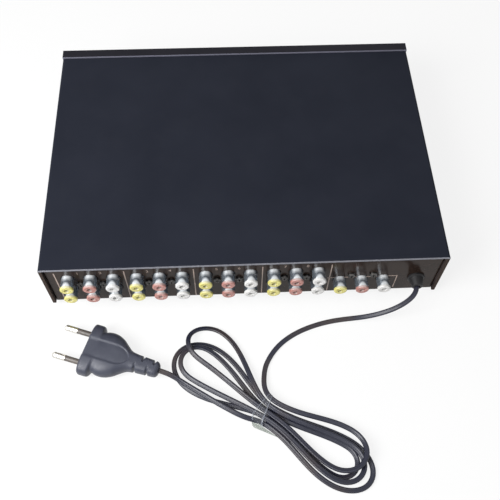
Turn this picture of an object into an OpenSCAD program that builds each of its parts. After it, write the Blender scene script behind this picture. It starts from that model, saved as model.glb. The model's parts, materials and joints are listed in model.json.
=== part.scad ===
/* [Case] */
// Width over the cover
case_w = 250; // [246:1:300]
// Depth of the cover from its front edge to its rear edge
case_d = 174; // [165:1:240]
// Height of the cover above the underside of the base
case_h = 43.5; // [39:0.5:60]
// Thickness of the sheet steel
sheet_t = 1; // [0.8:0.1:1.3]
// Inside radius of the bends in the cover
bend_r = 0.8; // [0.3:0.1:2]
// Depth of the folded hem along the rear edge of the cover
hem_d = 6; // [4:0.5:10]
// Play between sheets that slide past each other
sheet_gap = 0.3; // [0.2:0.05:0.5]
// Height of the side flanges of the base
flange_h = 16; // [13:1:24]

/* [Feet] */
// Height of the rubber feet
foot_h = 4; // [3:0.5:10]
// Diameter of the rubber feet
foot_d = 14; // [12:0.5:20]
// Distance of the feet from the sides of the case
foot_inset = 22; // [16:1:40]

/* [Front panel] */
// Thickness of the front panel
front_t = 8; // [6:0.5:12]
// Height of the front panel above the cover
front_rise = 1; // [0:0.25:3]
// Chamfer round the front face
front_chamfer = 1; // [0.4:0.1:2]

/* [Power button] */
// Distance of the button from the left side, seen from the front
button_inset = 27; // [24:1:40]
// Height of the button above the underside of the base
button_z = 19; // [16:0.5:24]
// Diameter of the button cap
button_d = 10; // [8:0.5:12]
// How far the released button stands out of the panel
button_proud = 4.5; // [4:0.25:8]
// Travel of the button
button_travel = 3; // [2:0.25:3.5]
// Play round the button cap
button_gap = 0.3; // [0.3:0.05:0.6]
// Side of the square plunger
plunger_w = 3; // [2.5:0.25:4]
// Play round the plunger
plunger_gap = 0.3; // [0.3:0.05:0.5]
// Width and height of the switch body
switch_w = 13; // [12:0.5:16]
// Length of the switch body
switch_l = 20; // [18:0.5:26]

/* [Power light] */
// Distance from the button to the light
light_pitch = 20; // [18:1:30]
// Diameter of the light
light_d = 5; // [3:0.5:6]
// How far the light stands out of the panel
light_proud = 1.2; // [0.6:0.1:2]

/* [Rear panel] */
// Distance of the rear panel behind the edge of the cover
rear_recess = 2; // [1:0.25:4]
// Thickness of the glossy panel sheet
fascia_t = 0.6; // [0.4:0.1:1]

/* [Phono jacks] */
// Number of output blocks
output_blocks = 4; // [2:1:4]
// Distance from one block to the next
block_pitch = 42.5; // [42.2:0.1:43]
// Distance of the first block's centre from the side of the case
block_inset = 29; // [27:0.5:30]
// Distance from one jack to the next along a row
jack_pitch = 14; // [12:0.25:14]
// Width of a jack housing
housing_w = 41.6; // [41:0.1:42]
// Height of the upper row above the lower row
row_pitch = 12.5; // [12:0.25:14]
// Height of the lower row above the board
row_h = 9; // [7.5:0.25:10]
// Outside diameter of the metal shell of a jack
jack_d = 8.3; // [7.5:0.1:9]
// Wall of the metal shell
shell_t = 0.6; // [0.4:0.1:0.8]
// How far a jack stands out of the rear panel
jack_reach = 8.5; // [7:0.25:11]
// Thickness of the coloured collar at the tip
collar_t = 1.6; // [1:0.1:2.5]
// Hole for the centre pin of a phono plug
pin_hole_d = 3.4; // [3.2:0.1:3.6]
// Play round a shell where it passes through the rear panel
jack_gap = 0.35; // [0.3:0.05:0.6]
// Depth of the pocket that holds a shell in its housing
shell_seat = 2; // [1.5:0.25:3]
// Depth of a jack housing
housing_d = 12; // [11:0.5:16]
// Housing above the axis of the highest jack
housing_cap = 6; // [5.5:0.25:7]

/* [Circuit board] */
// Length of the spacers under the board
spacer_h = 4; // [3:0.5:6]
// Diameter of the spacers
spacer_d = 6; // [5:0.5:7]
// Thickness of the board
board_t = 1.6; // [1:0.2:2]
// Depth of the board
board_d = 70; // [64:1:90]
// Board beyond the jack housings at each end
board_margin = 1.5; // [0.5:0.25:2]
// Diameter of the filter capacitors
filter_cap_d = 10; // [8:0.5:12]
// Height of the filter capacitors
filter_cap_h = 20; // [12:0.5:24]
// Diameter of the coupling capacitors
signal_cap_d = 5; // [4:0.5:6]
// Height of the coupling capacitors
signal_cap_h = 11; // [7:0.5:14]
// Height of the heat sink
sink_h = 22; // [18:0.5:24]

/* [Transformer] */
// Width of the laminated core
core_w = 41; // [36:0.5:44]
// Height of the laminated core
core_h = 29; // [27:0.5:30]
// Thickness of the stack of laminations
core_stack = 14; // [12:0.5:18]
// How far the winding stands out of the core at each side
coil_bulge = 7; // [5:0.5:9]
// Thickness of the strap over the core
strap_t = 1; // [0.8:0.1:1.2]
// Distance of the transformer from the left side of the case
core_inset = 62; // [56:0.5:66]
// Gap between the board and the winding
core_clear = 14; // [10:0.5:20]

/* [Cord gland] */
// Distance of the gland from the side of the case
gland_inset = 15.5; // [14:0.5:18]
// Diameter of the gland's flange
gland_d = 11; // [10:0.5:13]
// How far the gland stands out of the rear panel
gland_reach = 7.5; // [6:0.25:9]
// Diameter of the gland's mouth
gland_tip_d = 7; // [6:0.25:8]

/* [Cord and plug] */
// Diameter of the cord
cord_d = 3.4; // [3:0.1:3.4]
// Play round the cord in the gland
cord_gap = 0.15; // [0.1:0.05:0.3]
// Thickness of the plug
plug_t = 14; // [13:0.25:15]
// Width of the plug across its pin face
plug_w = 35; // [32:0.5:37]
// Length of the plug from its pin face to the end of its strain relief
plug_l = 48; // [48:1:60]
// Depth of the flat collar at the pin face
plug_collar = 8; // [6:0.5:10]
// Distance between the pins
pin_pitch = 19; // [17.5:0.25:19.5]
// Diameter of the pins
pin_d = 4; // [3.8:0.1:4.8]
// Length of the pins
pin_l = 19; // [17:0.5:19]
// Length of the insulating sleeve on each pin
sleeve_l = 10; // [8:0.5:12]
// Thickness of the insulating sleeve
sleeve_t = 0.4; // [0.3:0.05:0.5]

/* [Screws] */
// Thread diameter of the case screws
screw_d = 3; // [2.5:0.25:3.5]
// Head diameter of the case screws
head_d = 5.6; // [5:0.1:6]
// Head height of the case screws
head_h = 1.9; // [1.5:0.1:2.2]
// Thread diameter of the jack screws
tap_d = 2.6; // [2.2:0.1:3]
// Head diameter of the jack screws
tap_head_d = 4.6; // [4:0.1:5]
// Length of the jack screws under the head
tap_l = 9; // [7:0.5:10]
// Radial play of a thread in its hole
thread_gap = 0.05; // [0.03:0.01:0.1]
// Radial play of a screw in a plain hole
hole_gap = 0.25; // [0.2:0.05:0.4]

/* [Hidden] */
$fn = 48;
eps = 0.01;

// Heights
base_z = foot_h;
floor_z = base_z + sheet_t;
top_z = base_z + case_h;
board_z = floor_z + spacer_h;
board_top = board_z + board_t;
low_z = board_top + row_h;
high_z = low_z + row_pitch;
jack_screw_z = low_z + row_pitch / 2;

// Depths, measured from the rear edge of the cover, forwards negative
fascia_y = -rear_recess;
wall_out = fascia_y - fascia_t;
wall_in = wall_out - sheet_t;
front_y = -case_d;
face_y = front_y - front_t;
tip_y = fascia_y + jack_reach;
board_front = wall_in - board_d;
button_front = face_y - button_proud;

// The rear edge of the cover in the frame that is centred on the whole body
rear_y = (tip_y - button_front) / 2 - tip_y;

// Widths
base_half = case_w / 2 - sheet_t - sheet_gap;
hem_half = case_w / 2 - 2 * sheet_t - sheet_gap;
hem_end = -hem_d - sheet_gap;
block_x = [for (b = [0:output_blocks]) case_w / 2 - block_inset - b * block_pitch];
board_x0 = block_x[output_blocks] - housing_w / 2 - board_margin;
board_x1 = block_x[0] + housing_w / 2 + board_margin;
gland_x = -case_w / 2 + gland_inset;
gland_z = low_z;
button_x = -case_w / 2 + button_inset;
button_axis_z = base_z + button_z;
light_x = button_x + light_pitch;
core_x = -case_w / 2 + core_inset;
core_y = board_front - core_clear - coil_bulge - core_stack / 2;

// Fixing points
foot_x = case_w / 2 - foot_inset;
foot_rear = -foot_inset;
foot_front = front_y + foot_inset;
foot_spots = [for (x = [-foot_x, foot_x], y = [foot_rear, foot_front]) [x, y]];
cover_screw_drop = 6;
cover_screw_inset = 25;
cover_screw_z = base_z + flange_h - cover_screw_drop;
cover_screw_y = [front_y + cover_screw_inset, -hem_d - cover_screw_inset];
front_screw_inset = 12;
front_screw_low = 8;
front_screw_high = 10;
front_screw_x = case_w / 2 - front_screw_inset;
front_screw_z = [base_z + front_screw_low, top_z - front_screw_high];
spacer_inset = 7;
spacer_clear = 5.5;
spacer_rear = wall_in - housing_d - spacer_clear;
spacer_front = board_front + spacer_inset;
spacer_x = [board_x0 + spacer_inset, (board_x0 + board_x1) / 2, board_x1 - spacer_inset];
spacer_spots = [for (x = spacer_x, y = [spacer_rear, spacer_front]) [x, y]];
strap_tab = 10;
screw_tail = 2;
blind_end = 0.5;
strap_half = core_w / 2 + strap_t;
strap_hole = strap_half + strap_tab / 2;
switch_ear = 8;
switch_hole = switch_w / 2 + switch_ear / 2;
switch_plate_t = 1.5;
spigot_d = 4;
gland_lip = 1;
gland_neck_d = gland_d - 2 * gland_lip;
gland_barb_d = gland_d - gland_lip;
light_rim = 0.5;
light_rim_t = 1;
light_rim_d = light_d + 2 * light_rim;
light_fit = 0.1;
plunger_hole = plunger_w + 2 * plunger_gap;
wire_d = 1.6;

// Sides of the swept tubes
lead_sides = 8;
hank_sides = 6;
wire_sides = 6;

// Shared shapes

module at_rear() { translate([0, rear_y, 0]) children(); }

// A cylinder along Y from y0 to y1
module rod_y(d, y0, y1) { translate([0, y1, 0]) rotate([90, 0, 0]) cylinder(d = d, h = y1 - y0); }

// A cylinder along X from x0 to x1
module rod_x(d, x0, x1) { translate([x0, 0, 0]) rotate([0, 90, 0]) cylinder(d = d, h = x1 - x0); }

// A block from corner to corner
module block(low, high) { translate(low) cube(high - low); }

// An upright rectangle whose two upper corners are round
module arch(w, h, r) {
  translate([-w / 2, 0]) square([w, h - r]);
  translate([-w / 2 + r, h - r - eps]) square([w - 2 * r, r + eps]);
  for (s = [-1, 1]) translate([s * (w / 2 - r), h - r]) circle(r = r);
}

// A pan head screw along Z, its head above the seat at z = 0, with a cross recess
module screw(d, l, dome_d, dome_h) {
  recess_w = dome_d * 0.62;
  cut_w = dome_d * 0.16;
  difference() {
    union() {
      translate([0, 0, -l]) cylinder(d = d, h = l + eps);
      cylinder(d = dome_d, h = dome_h * 0.6);
      translate([0, 0, dome_h * 0.6 - eps]) cylinder(d1 = dome_d, d2 = dome_d * 0.7, h = dome_h * 0.4);
    }
    for (a = [0, 90])
      rotate([0, 0, a]) translate([-recess_w / 2, -cut_w / 2, dome_h * 0.45]) cube([recess_w, cut_w, dome_h]);
  }
}

// Unit vector
function unit(v) = v / norm(v);

// Direction of a path at one of its points
function heading(p, i) = unit(p[min(i + 1, len(p) - 1)] - p[max(i - 1, 0)]);

// One ring of a tube round a path
function ring(p, i, d, n) = let(t = heading(p, i), s = unit(cross([0, 0, 1], t)), u = cross(t, s))
  [for (k = [0:n - 1]) let(a = 360 * (k + 0.5) / n) p[i] + d / 2 * (s * cos(a) + u * sin(a))];

// A closed tube of diameter d and n sides along the path p
module tube(p, d, n) {
  last = len(p) - 1;
  points = [for (i = [0:last]) each ring(p, i, d, n)];
  walls = [for (i = [0:last - 1], k = [0:n - 1]) let(a = i * n + k, b = i * n + (k + 1) % n)
    each [[a, a + n, b], [b, a + n, b + n]]];
  caps = [for (k = [1:n - 2]) each [[0, k, k + 1], [last * n, last * n + k + 1, last * n + k]]];
  polyhedron(points, concat(walls, caps));
}

// Column places of a block, in the order yellow, red, white
function column_x(b, c) = block_x[b] + (1 - c) * jack_pitch;

// Every jack as [x, z, colour]
jacks = concat(
  [for (b = [0:output_blocks - 1], c = [0:2], z = [low_z, high_z]) [column_x(b, c), z, c]],
  [for (c = [0:2]) [column_x(output_blocks, c), low_z, c]]
);

// Screws between the columns of each block
jack_screw_x = [for (b = [0:output_blocks], c = [0.5, 1.5]) column_x(b, c)];

// Case

module jack_holes() {
  for (j = jacks)
    translate([j[0], 0, j[1]]) rod_y(jack_d + 2 * jack_gap, wall_in - eps, fascia_y + eps);
  for (x = jack_screw_x)
    translate([x, 0, jack_screw_z]) rod_y(tap_d + 2 * hole_gap, wall_in - eps, fascia_y + eps);
}

module base_chassis() color([0.16, 0.15, 0.15]) at_rear() difference() {
  union() {
    block([-base_half, front_y, base_z], [base_half, hem_end, floor_z]);
    block([-hem_half, hem_end - eps, base_z], [hem_half, wall_out, floor_z]);
    block([-base_half, front_y, base_z], [base_half, front_y + sheet_t, top_z - sheet_t - sheet_gap]);
    for (s = [0, 1]) mirror([s, 0, 0])
      block([base_half - sheet_t, front_y, base_z], [base_half, hem_end, base_z + flange_h]);
  }
  for (f = foot_spots)
    translate([f[0], f[1], base_z - 1]) cylinder(r = screw_d / 2 + thread_gap, h = sheet_t + 2);
  for (s = spacer_spots)
    translate([s[0], s[1], base_z - 1]) cylinder(r = spigot_d / 2 + thread_gap, h = sheet_t + 2);
  for (s = [-1, 1])
    translate([core_x + s * strap_hole, core_y, base_z - 1])
      cylinder(r = screw_d / 2 + thread_gap, h = sheet_t + 2);
  for (y = cover_screw_y) translate([0, y, cover_screw_z])
    rod_x(screw_d + 2 * thread_gap, -case_w / 2, case_w / 2);
  for (s = [-1, 1], z = front_screw_z) translate([s * front_screw_x, 0, z])
    rod_y(screw_d + 2 * hole_gap, front_y - 1, front_y + sheet_t + 1);
  for (s = [-1, 1]) translate([button_x + s * switch_hole, 0, button_axis_z])
    rod_y(screw_d + 2 * hole_gap, front_y - 1, front_y + sheet_t + 1);
  translate([button_x - plunger_hole / 2, front_y - 1, button_axis_z - plunger_hole / 2])
    cube([plunger_hole, sheet_t + 2, plunger_hole]);
  translate([light_x, 0, button_axis_z])
    rod_y(light_rim_d + 2 * hole_gap, front_y - 1, front_y + sheet_t + 1);
}

module rear_panel() color([0.16, 0.15, 0.15]) at_rear() difference() {
  block([-hem_half, wall_in, floor_z], [hem_half, wall_out, top_z - 2 * sheet_t - sheet_gap]);
  jack_holes();
  translate([gland_x, 0, gland_z]) rod_y(gland_neck_d + 2 * thread_gap, wall_in - 1, fascia_y);
}

module top_cover() color([0.1, 0.105, 0.13]) at_rear() difference() {
  translate([0, 0, base_z]) rotate([90, 0, 0]) {
    linear_extrude(case_d) difference() {
      arch(case_w, case_h, bend_r + sheet_t);
      translate([0, -eps]) arch(case_w - 2 * sheet_t, case_h - sheet_t + eps, bend_r);
    }
    linear_extrude(hem_d) difference() {
      arch(case_w - sheet_t, case_h - sheet_t / 2, bend_r + sheet_t / 2);
      translate([0, -eps]) arch(case_w - 4 * sheet_t, case_h - 2 * sheet_t + eps, bend_r);
    }
  }
  for (y = cover_screw_y) translate([0, y, cover_screw_z]) rod_x(screw_d + 2 * hole_gap, -case_w, case_w);
}

module front_panel() color([0.08, 0.08, 0.085]) at_rear() difference() {
  low = base_z;
  high = top_z + front_rise;
  c = front_chamfer;
  intersection() {
    block([-case_w / 2, face_y, low], [case_w / 2, front_y, high]);
    translate([-case_w / 2, 0, 0]) rotate([90, 0, 90]) linear_extrude(case_w) polygon([
      [front_y, low], [face_y + c, low], [face_y, low + c],
      [face_y, high - c], [face_y + c, high], [front_y, high]
    ]);
    linear_extrude(high) polygon([
      [-case_w / 2, front_y], [-case_w / 2, face_y + c], [-case_w / 2 + c, face_y],
      [case_w / 2 - c, face_y], [case_w / 2, face_y + c], [case_w / 2, front_y]
    ]);
  }
  translate([button_x, 0, button_axis_z]) rod_y(button_d + 2 * button_gap, face_y - 1, front_y + 1);
  translate([light_x, 0, button_axis_z]) {
    rod_y(light_d + 2 * light_fit, face_y - 1, front_y + 1);
    rod_y(light_rim_d + 2 * light_fit, light_rim_y, front_y + 1);
  }
  for (s = [-1, 1], z = front_screw_z) translate([s * front_screw_x, 0, z])
    rod_y(screw_d + 2 * thread_gap, front_y - front_screw_bite, front_y + 1);
  for (s = [-1, 1]) translate([button_x + s * switch_hole, 0, button_axis_z])
    rod_y(screw_d + 2 * thread_gap, front_y - front_screw_bite, front_y + 1);
}

module rear_fascia() color([0.13, 0.115, 0.11]) at_rear() difference() {
  block([-hem_half, wall_out, base_z], [hem_half, fascia_y, top_z - 2 * sheet_t - sheet_gap]);
  jack_holes();
  translate([gland_x, 0, gland_z]) rod_y(gland_neck_d + 2 * thread_gap, wall_in, fascia_y + 1);
}

// Feet

foot_floor = foot_h * 0.4;
foot_edge = 0.8;
head_gap = 0.5;

module rubber_feet() color([0.05, 0.05, 0.05]) at_rear()
  for (f = foot_spots) translate([f[0], f[1], 0]) difference() {
    union() {
      cylinder(d1 = foot_d - 2 * foot_edge, d2 = foot_d, h = foot_edge);
      translate([0, 0, foot_edge - eps]) cylinder(d = foot_d, h = foot_h - foot_edge + eps);
    }
    translate([0, 0, -1]) cylinder(d = head_d + 2 * head_gap, h = foot_h - foot_floor + 1);
    cylinder(r = screw_d / 2 + hole_gap, h = foot_h + 1);
  }

module foot_screws() color([0.6, 0.6, 0.62]) at_rear()
  for (f = foot_spots) translate([f[0], f[1], foot_h - foot_floor]) mirror([0, 0, 1])
    screw(screw_d, foot_floor + sheet_t + screw_tail, head_d, head_h);

// Case screws

module cover_screws() color([0.07, 0.07, 0.07]) at_rear() for (s = [-1, 1], y = cover_screw_y)
  translate([s * case_w / 2, y, cover_screw_z]) rotate([0, s * 90, 0])
    screw(screw_d, 2 * sheet_t + sheet_gap + screw_tail, head_d, head_h);

front_skin = 2;
front_screw_bite = front_t - front_skin;

module front_panel_screws() color([0.6, 0.6, 0.62]) at_rear() for (s = [-1, 1], z = front_screw_z)
  translate([s * front_screw_x, front_y + sheet_t, z]) rotate([-90, 0, 0])
    screw(screw_d, sheet_t + front_screw_bite - blind_end, head_d, head_h);

module jack_screws() color([0.12, 0.12, 0.12]) at_rear() for (x = jack_screw_x)
  translate([x, fascia_y, jack_screw_z]) rotate([-90, 0, 0]) screw(tap_d, tap_l, tap_head_d, head_h);

// Circuit board

module main_board() color([0.1, 0.35, 0.16]) at_rear() difference() {
  block([board_x0, board_front, board_z], [board_x1, wall_in - sheet_gap, board_top]);
  for (s = spacer_spots)
    translate([s[0], s[1], board_z - 1]) cylinder(r = screw_d / 2 + hole_gap, h = board_t + 2);
}

module board_spacers() color([0.75, 0.72, 0.6]) at_rear()
  for (s = spacer_spots) translate([s[0], s[1], 0]) difference() {
    union() {
      translate([0, 0, floor_z]) cylinder(d = spacer_d, h = spacer_h);
      translate([0, 0, base_z]) cylinder(d = spigot_d, h = sheet_t + eps);
    }
    translate([0, 0, base_z - 1]) cylinder(r = screw_d / 2 + thread_gap, h = spacer_h + sheet_t + 2);
  }

module board_screws() color([0.6, 0.6, 0.62]) at_rear() for (s = spacer_spots)
  translate([s[0], s[1], board_top]) screw(screw_d, board_t + spacer_h - blind_end, head_d, head_h);

// Phono jacks

contact_l = 7;
contact_fit = 0.05;
contact_t = 0.5;
contact_d = pin_hole_d + 2 * contact_t;
collar_edge = 0.4;
screw_cover = 4;
seat_y = wall_in - shell_seat;

// One housing with its pockets, for the jack rows at the heights zs
module housing(b, zs, top) color([0.07, 0.07, 0.075]) at_rear() difference() {
  half = housing_w / 2;
  block([block_x[b] - half, wall_in - housing_d, board_top], [block_x[b] + half, wall_in, top]);
  for (c = [0:2], z = zs) translate([column_x(b, c), 0, z]) {
    rod_y(jack_d + 2 * contact_fit, seat_y, wall_in + 1);
    rod_y(contact_d + 2 * contact_fit, seat_y - contact_l, wall_in);
  }
  for (c = [0.5, 1.5]) translate([column_x(b, c), 0, jack_screw_z])
    rod_y(tap_d + 2 * thread_gap, fascia_y - tap_l - blind_end, wall_in + 1);
}

module output_housing(b) { if (b < output_blocks) housing(b, [low_z, high_z], high_z + housing_cap); }
module output_housing_1() { output_housing(0); }
module output_housing_2() { output_housing(1); }
module output_housing_3() { output_housing(2); }
module output_housing_4() { output_housing(3); }
module input_housing() { housing(output_blocks, [low_z], jack_screw_z + screw_cover); }

module jack_shells() color([0.8, 0.8, 0.82]) at_rear()
  for (j = jacks) translate([j[0], 0, j[1]]) difference() {
    rod_y(jack_d, seat_y, tip_y - collar_t);
    rod_y(jack_d - 2 * shell_t, seat_y - 1, tip_y);
  }

// The insulators of one colour, each with a collar over the end of its shell
module jack_inserts(colour) at_rear()
  for (j = jacks) if (j[2] == colour) translate([j[0], 0, j[1]]) difference() {
    e = collar_edge;
    union() {
      rod_y(jack_d, tip_y - collar_t, tip_y - e);
      translate([0, tip_y - e - eps, 0]) rotate([-90, 0, 0])
        cylinder(d1 = jack_d, d2 = jack_d - 2 * e, h = e + eps);
      rod_y(jack_d - 2 * shell_t - 2 * contact_fit, seat_y, tip_y - collar_t + eps);
    }
    rod_y(pin_hole_d, seat_y - 1, tip_y + 1);
  }

module jack_inserts_yellow() color([0.93, 0.85, 0.2]) jack_inserts(0);
module jack_inserts_red() color([0.75, 0.28, 0.24]) jack_inserts(1);
module jack_inserts_white() color([0.92, 0.92, 0.9]) jack_inserts(2);

module jack_contacts() color([0.85, 0.7, 0.35]) at_rear()
  for (j = jacks) translate([j[0], 0, j[1]]) difference() {
    rod_y(contact_d, seat_y - contact_l, seat_y);
    rod_y(pin_hole_d, seat_y - contact_l - 1, seat_y + 1);
  }

// Parts on the board

parts_rear = wall_in - housing_d;
chip_size = [6, 9, 1.6];
chip_clear = 21;
chip_y = parts_rear - chip_clear - chip_size[1];
resistor_size = [1.3, 2, 0.6];
resistor_pitch = 5;
resistor_gap = 2;
signal_cap_clear = 13;
signal_cap_y = parts_rear - signal_cap_clear;
signal_cap_pitch = 9;
filter_cap_gap = 2;
filter_cap_clear = 12;
filter_cap_y = board_front + filter_cap_clear + filter_cap_d / 2;
filter_cap_offset = 48;
filter_cap_x = board_x0 + filter_cap_offset;
sink_size = [20, 12, sink_h];
sink_t = 2;
fin_t = 1.5;
fins = 5;
sink_clear = 8;
sink_offset = 82;
sink_x = board_x0 + sink_offset;
sink_y = board_front + sink_clear;
regulator_size = [10, 4.5, 9];
tab_size = [10, 1.3, 4];
leg_size = [0.8, 0.5, 4];
leg_pitch = 2.54;
header_size = [8, 6, 7];
header_clear = 2;
supply_header_offset = 28;
light_header_offset = 62;
header_x = [board_x0 + supply_header_offset, board_x0 + light_header_offset];
header_y = board_front + header_clear;
header_wire_z = board_top + header_size[2] / 2;
header_wire_pitch = header_size[0] / 2;

module amplifier_chips() color([0.06, 0.06, 0.06]) at_rear()
  for (b = [0:output_blocks]) translate([block_x[b] - chip_size[0] / 2, chip_y, board_top]) cube(chip_size);

module chip_resistors() color([0.15, 0.15, 0.17]) at_rear()
  for (b = [0:output_blocks], k = [-3:2])
    translate([block_x[b] + (k + 0.3) * resistor_pitch, chip_y + chip_size[1] + resistor_gap, board_top])
      cube(resistor_size);

// A round capacitor with a groove near its foot
module can(d, h) {
  cylinder(d = d, h = h * 0.12);
  translate([0, 0, h * 0.12 - eps]) cylinder(d = d * 0.92, h = h * 0.05 + 2 * eps);
  translate([0, 0, h * 0.17]) cylinder(d = d, h = h * 0.83);
}

module signal_capacitors() color([0.1, 0.14, 0.3]) at_rear()
  for (b = [0:output_blocks], c = [0:2])
    translate([block_x[b] + (1 - c) * signal_cap_pitch, signal_cap_y, board_top])
      can(signal_cap_d, signal_cap_h);

module filter_capacitors() color([0.1, 0.1, 0.12]) at_rear()
  for (k = [-1, 1])
    translate([filter_cap_x + k * (filter_cap_d + filter_cap_gap) / 2, filter_cap_y, board_top])
      can(filter_cap_d, filter_cap_h);

diode_d = 2.6;
diode_l = 5;
diode_leg_d = 0.8;
diode_leg = 3;
diode_pitch = 4;
diode_clear = 16;
diode_offset = 20;
diode_x = board_x0 + diode_offset;
diode_y = board_front + diode_clear;

module rectifier_diodes() color([0.1, 0.1, 0.1]) at_rear()
  for (k = [0:3]) translate([diode_x + k * diode_pitch, diode_y, board_top + diode_d / 2]) {
    rod_y(diode_d, 0, diode_l);
    rod_y(diode_leg_d, -diode_leg, diode_l + diode_leg);
    for (y = [-diode_leg, diode_l + diode_leg])
      translate([0, y, -diode_d / 2]) cylinder(d = diode_leg_d, h = (diode_d + diode_leg_d) / 2);
  }

module heat_sink() color([0.7, 0.7, 0.72]) at_rear() translate([sink_x, sink_y, board_top]) {
  cube([sink_size[0], sink_t, sink_size[2]]);
  for (k = [0:fins - 1])
    translate([k * (sink_size[0] - fin_t) / (fins - 1), sink_t - eps, 0])
      cube([fin_t, sink_size[1] - sink_t, sink_size[2]]);
}

module voltage_regulator() color([0.08, 0.08, 0.08]) at_rear()
  translate([sink_x + sink_size[0] / 2, sink_y, board_top]) {
    translate([-regulator_size[0] / 2, -regulator_size[1], leg_size[2]]) cube(regulator_size);
    translate([-tab_size[0] / 2, -tab_size[1], leg_size[2] + regulator_size[2] - eps]) cube(tab_size);
    for (k = [-1:1])
      translate([k * leg_pitch - leg_size[0] / 2, -regulator_size[1] / 2, 0]) cube(leg_size + [0, 0, eps]);
  }

module wire_headers() color([0.9, 0.88, 0.82]) at_rear()
  for (x = header_x) translate([x, header_y, board_top]) cube(header_size);

// Transformer

window_w = core_w / 6;
window_h = core_h / 2;
limb_w = core_w / 3;
coil_gap = 0.3;
former_gap = 0.15;

module transformer_core() color([0.35, 0.34, 0.33]) at_rear()
  translate([core_x, core_y, floor_z + core_h / 2]) difference() {
    block([-core_w, -core_stack, -core_h] / 2, [core_w, core_stack, core_h] / 2);
    for (s = [0, 1]) mirror([s, 0, 0])
      block([limb_w / 2, -core_stack, -window_h / 2], [limb_w / 2 + window_w, core_stack, window_h / 2]);
  }

module transformer_coil() color([0.85, 0.75, 0.3]) at_rear()
  translate([core_x, core_y, floor_z + core_h / 2]) difference() {
    coil = [limb_w + 2 * window_w - 2 * coil_gap, core_stack + 2 * coil_bulge, window_h - 2 * coil_gap];
    limb = [limb_w + 2 * former_gap, core_stack + 2 * coil_gap, 2 * core_h];
    block(-coil / 2, coil / 2);
    block(-limb / 2, limb / 2);
  }

module transformer_strap() color([0.7, 0.7, 0.7]) at_rear()
  translate([core_x, core_y, floor_z]) difference() {
    union() {
      block([-strap_half, -core_stack / 2, core_h], [strap_half, core_stack / 2, core_h + strap_t]);
      for (s = [0, 1]) mirror([s, 0, 0]) {
        block([core_w / 2, -core_stack / 2, 0], [strap_half, core_stack / 2, core_h + strap_t]);
        block([core_w / 2, -core_stack / 2, 0], [strap_half + strap_tab, core_stack / 2, strap_t]);
      }
    }
    for (s = [-1, 1])
      translate([s * strap_hole, 0, -1]) cylinder(r = screw_d / 2 + hole_gap, h = strap_t + 2);
  }

module transformer_screws() color([0.6, 0.6, 0.62]) at_rear()
  for (s = [-1, 1]) translate([core_x + s * strap_hole, core_y, floor_z + strap_t])
    screw(screw_d, strap_t + sheet_t + screw_tail, head_d, head_h);

// Power switch

switch_front = front_y + sheet_t;
switch_back = switch_front + switch_l;
cavity_l = 12;
plunger_stop = 0.6;
plunger_end = switch_front + cavity_l - button_travel - plunger_stop;
cap_stop = 1;
cap_back = front_y - button_travel - cap_stop;
cap_socket = 4;
cap_edge = 0.8;
socket_y = cap_back - cap_socket;
socket_fit = 0.05;
terminal_size = [0.8, 5, 3];
terminal_pitch = 6;
terminal_y = switch_back + terminal_size[1];

module switch_body() color([0.12, 0.12, 0.13]) at_rear()
  translate([button_x, 0, button_axis_z]) difference() {
    half = switch_w / 2;
    ear = half + switch_ear;
    union() {
      block([-half, switch_front, -half], [half, switch_back, half]);
      block([-ear, switch_front, -half], [ear, switch_front + switch_plate_t, half]);
      for (s = [-1, 1])
        translate([(s * terminal_pitch - terminal_size[0]) / 2, switch_back - eps, -terminal_size[2] / 2])
          cube(terminal_size + [0, eps, 0]);
    }
    translate([-plunger_hole / 2, switch_front - 1, -plunger_hole / 2])
      cube([plunger_hole, cavity_l + 1, plunger_hole]);
    for (s = [-1, 1]) translate([s * switch_hole, 0, 0])
      rod_y(screw_d + 2 * hole_gap, switch_front - 1, switch_front + switch_plate_t + 1);
  }

module switch_screws() color([0.6, 0.6, 0.62]) at_rear()
  for (s = [-1, 1])
    translate([button_x + s * switch_hole, switch_front + switch_plate_t, button_axis_z]) rotate([-90, 0, 0])
      screw(screw_d, switch_plate_t + sheet_t + front_screw_bite - blind_end, head_d, head_h);

module switch_plunger() color([0.9, 0.9, 0.88]) at_rear() translate([button_x, 0, button_axis_z])
  block([-plunger_w / 2, socket_y, -plunger_w / 2], [plunger_w / 2, plunger_end, plunger_w / 2]);

module button_cap() color([0.5, 0.5, 0.52]) at_rear() translate([button_x, 0, button_axis_z]) difference() {
  socket = plunger_w / 2 + socket_fit;
  e = cap_edge;
  union() {
    rod_y(button_d, button_front + e, cap_back);
    translate([0, button_front + e + eps, 0]) rotate([90, 0, 0])
      cylinder(d1 = button_d, d2 = button_d - 2 * e, h = e + eps);
  }
  block([-socket, socket_y, -socket], [socket, cap_back + 1, socket]);
}

// Power light

light_rim_y = front_y - front_skin;

module power_light() color([0.2, 0.75, 0.3]) at_rear() translate([light_x, 0, button_axis_z]) {
  dome_y = face_y - light_proud + light_d / 2;
  translate([0, dome_y, 0]) sphere(d = light_d);
  rod_y(light_d, dome_y, light_rim_y + eps);
  rod_y(light_rim_d, light_rim_y, light_rim_y + light_rim_t);
}

// Wires inside the case

gland_tail = 5;
cord_end = wall_in - gland_tail;
core_pair = 0.85;
wire_lift = 4;
wire_z = floor_z + wire_lift;
wire_side = gland_x - 1;
wire_gap = 4;
primary_z = floor_z + core_h / 2;
primary_x = core_x - limb_w / 2;
secondary_x = core_x + limb_w / 4;
coil_rear = core_y + core_stack / 2 + coil_bulge;
coil_front = core_y - core_stack / 2 - coil_bulge;
tab_x = terminal_pitch / 2;

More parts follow.
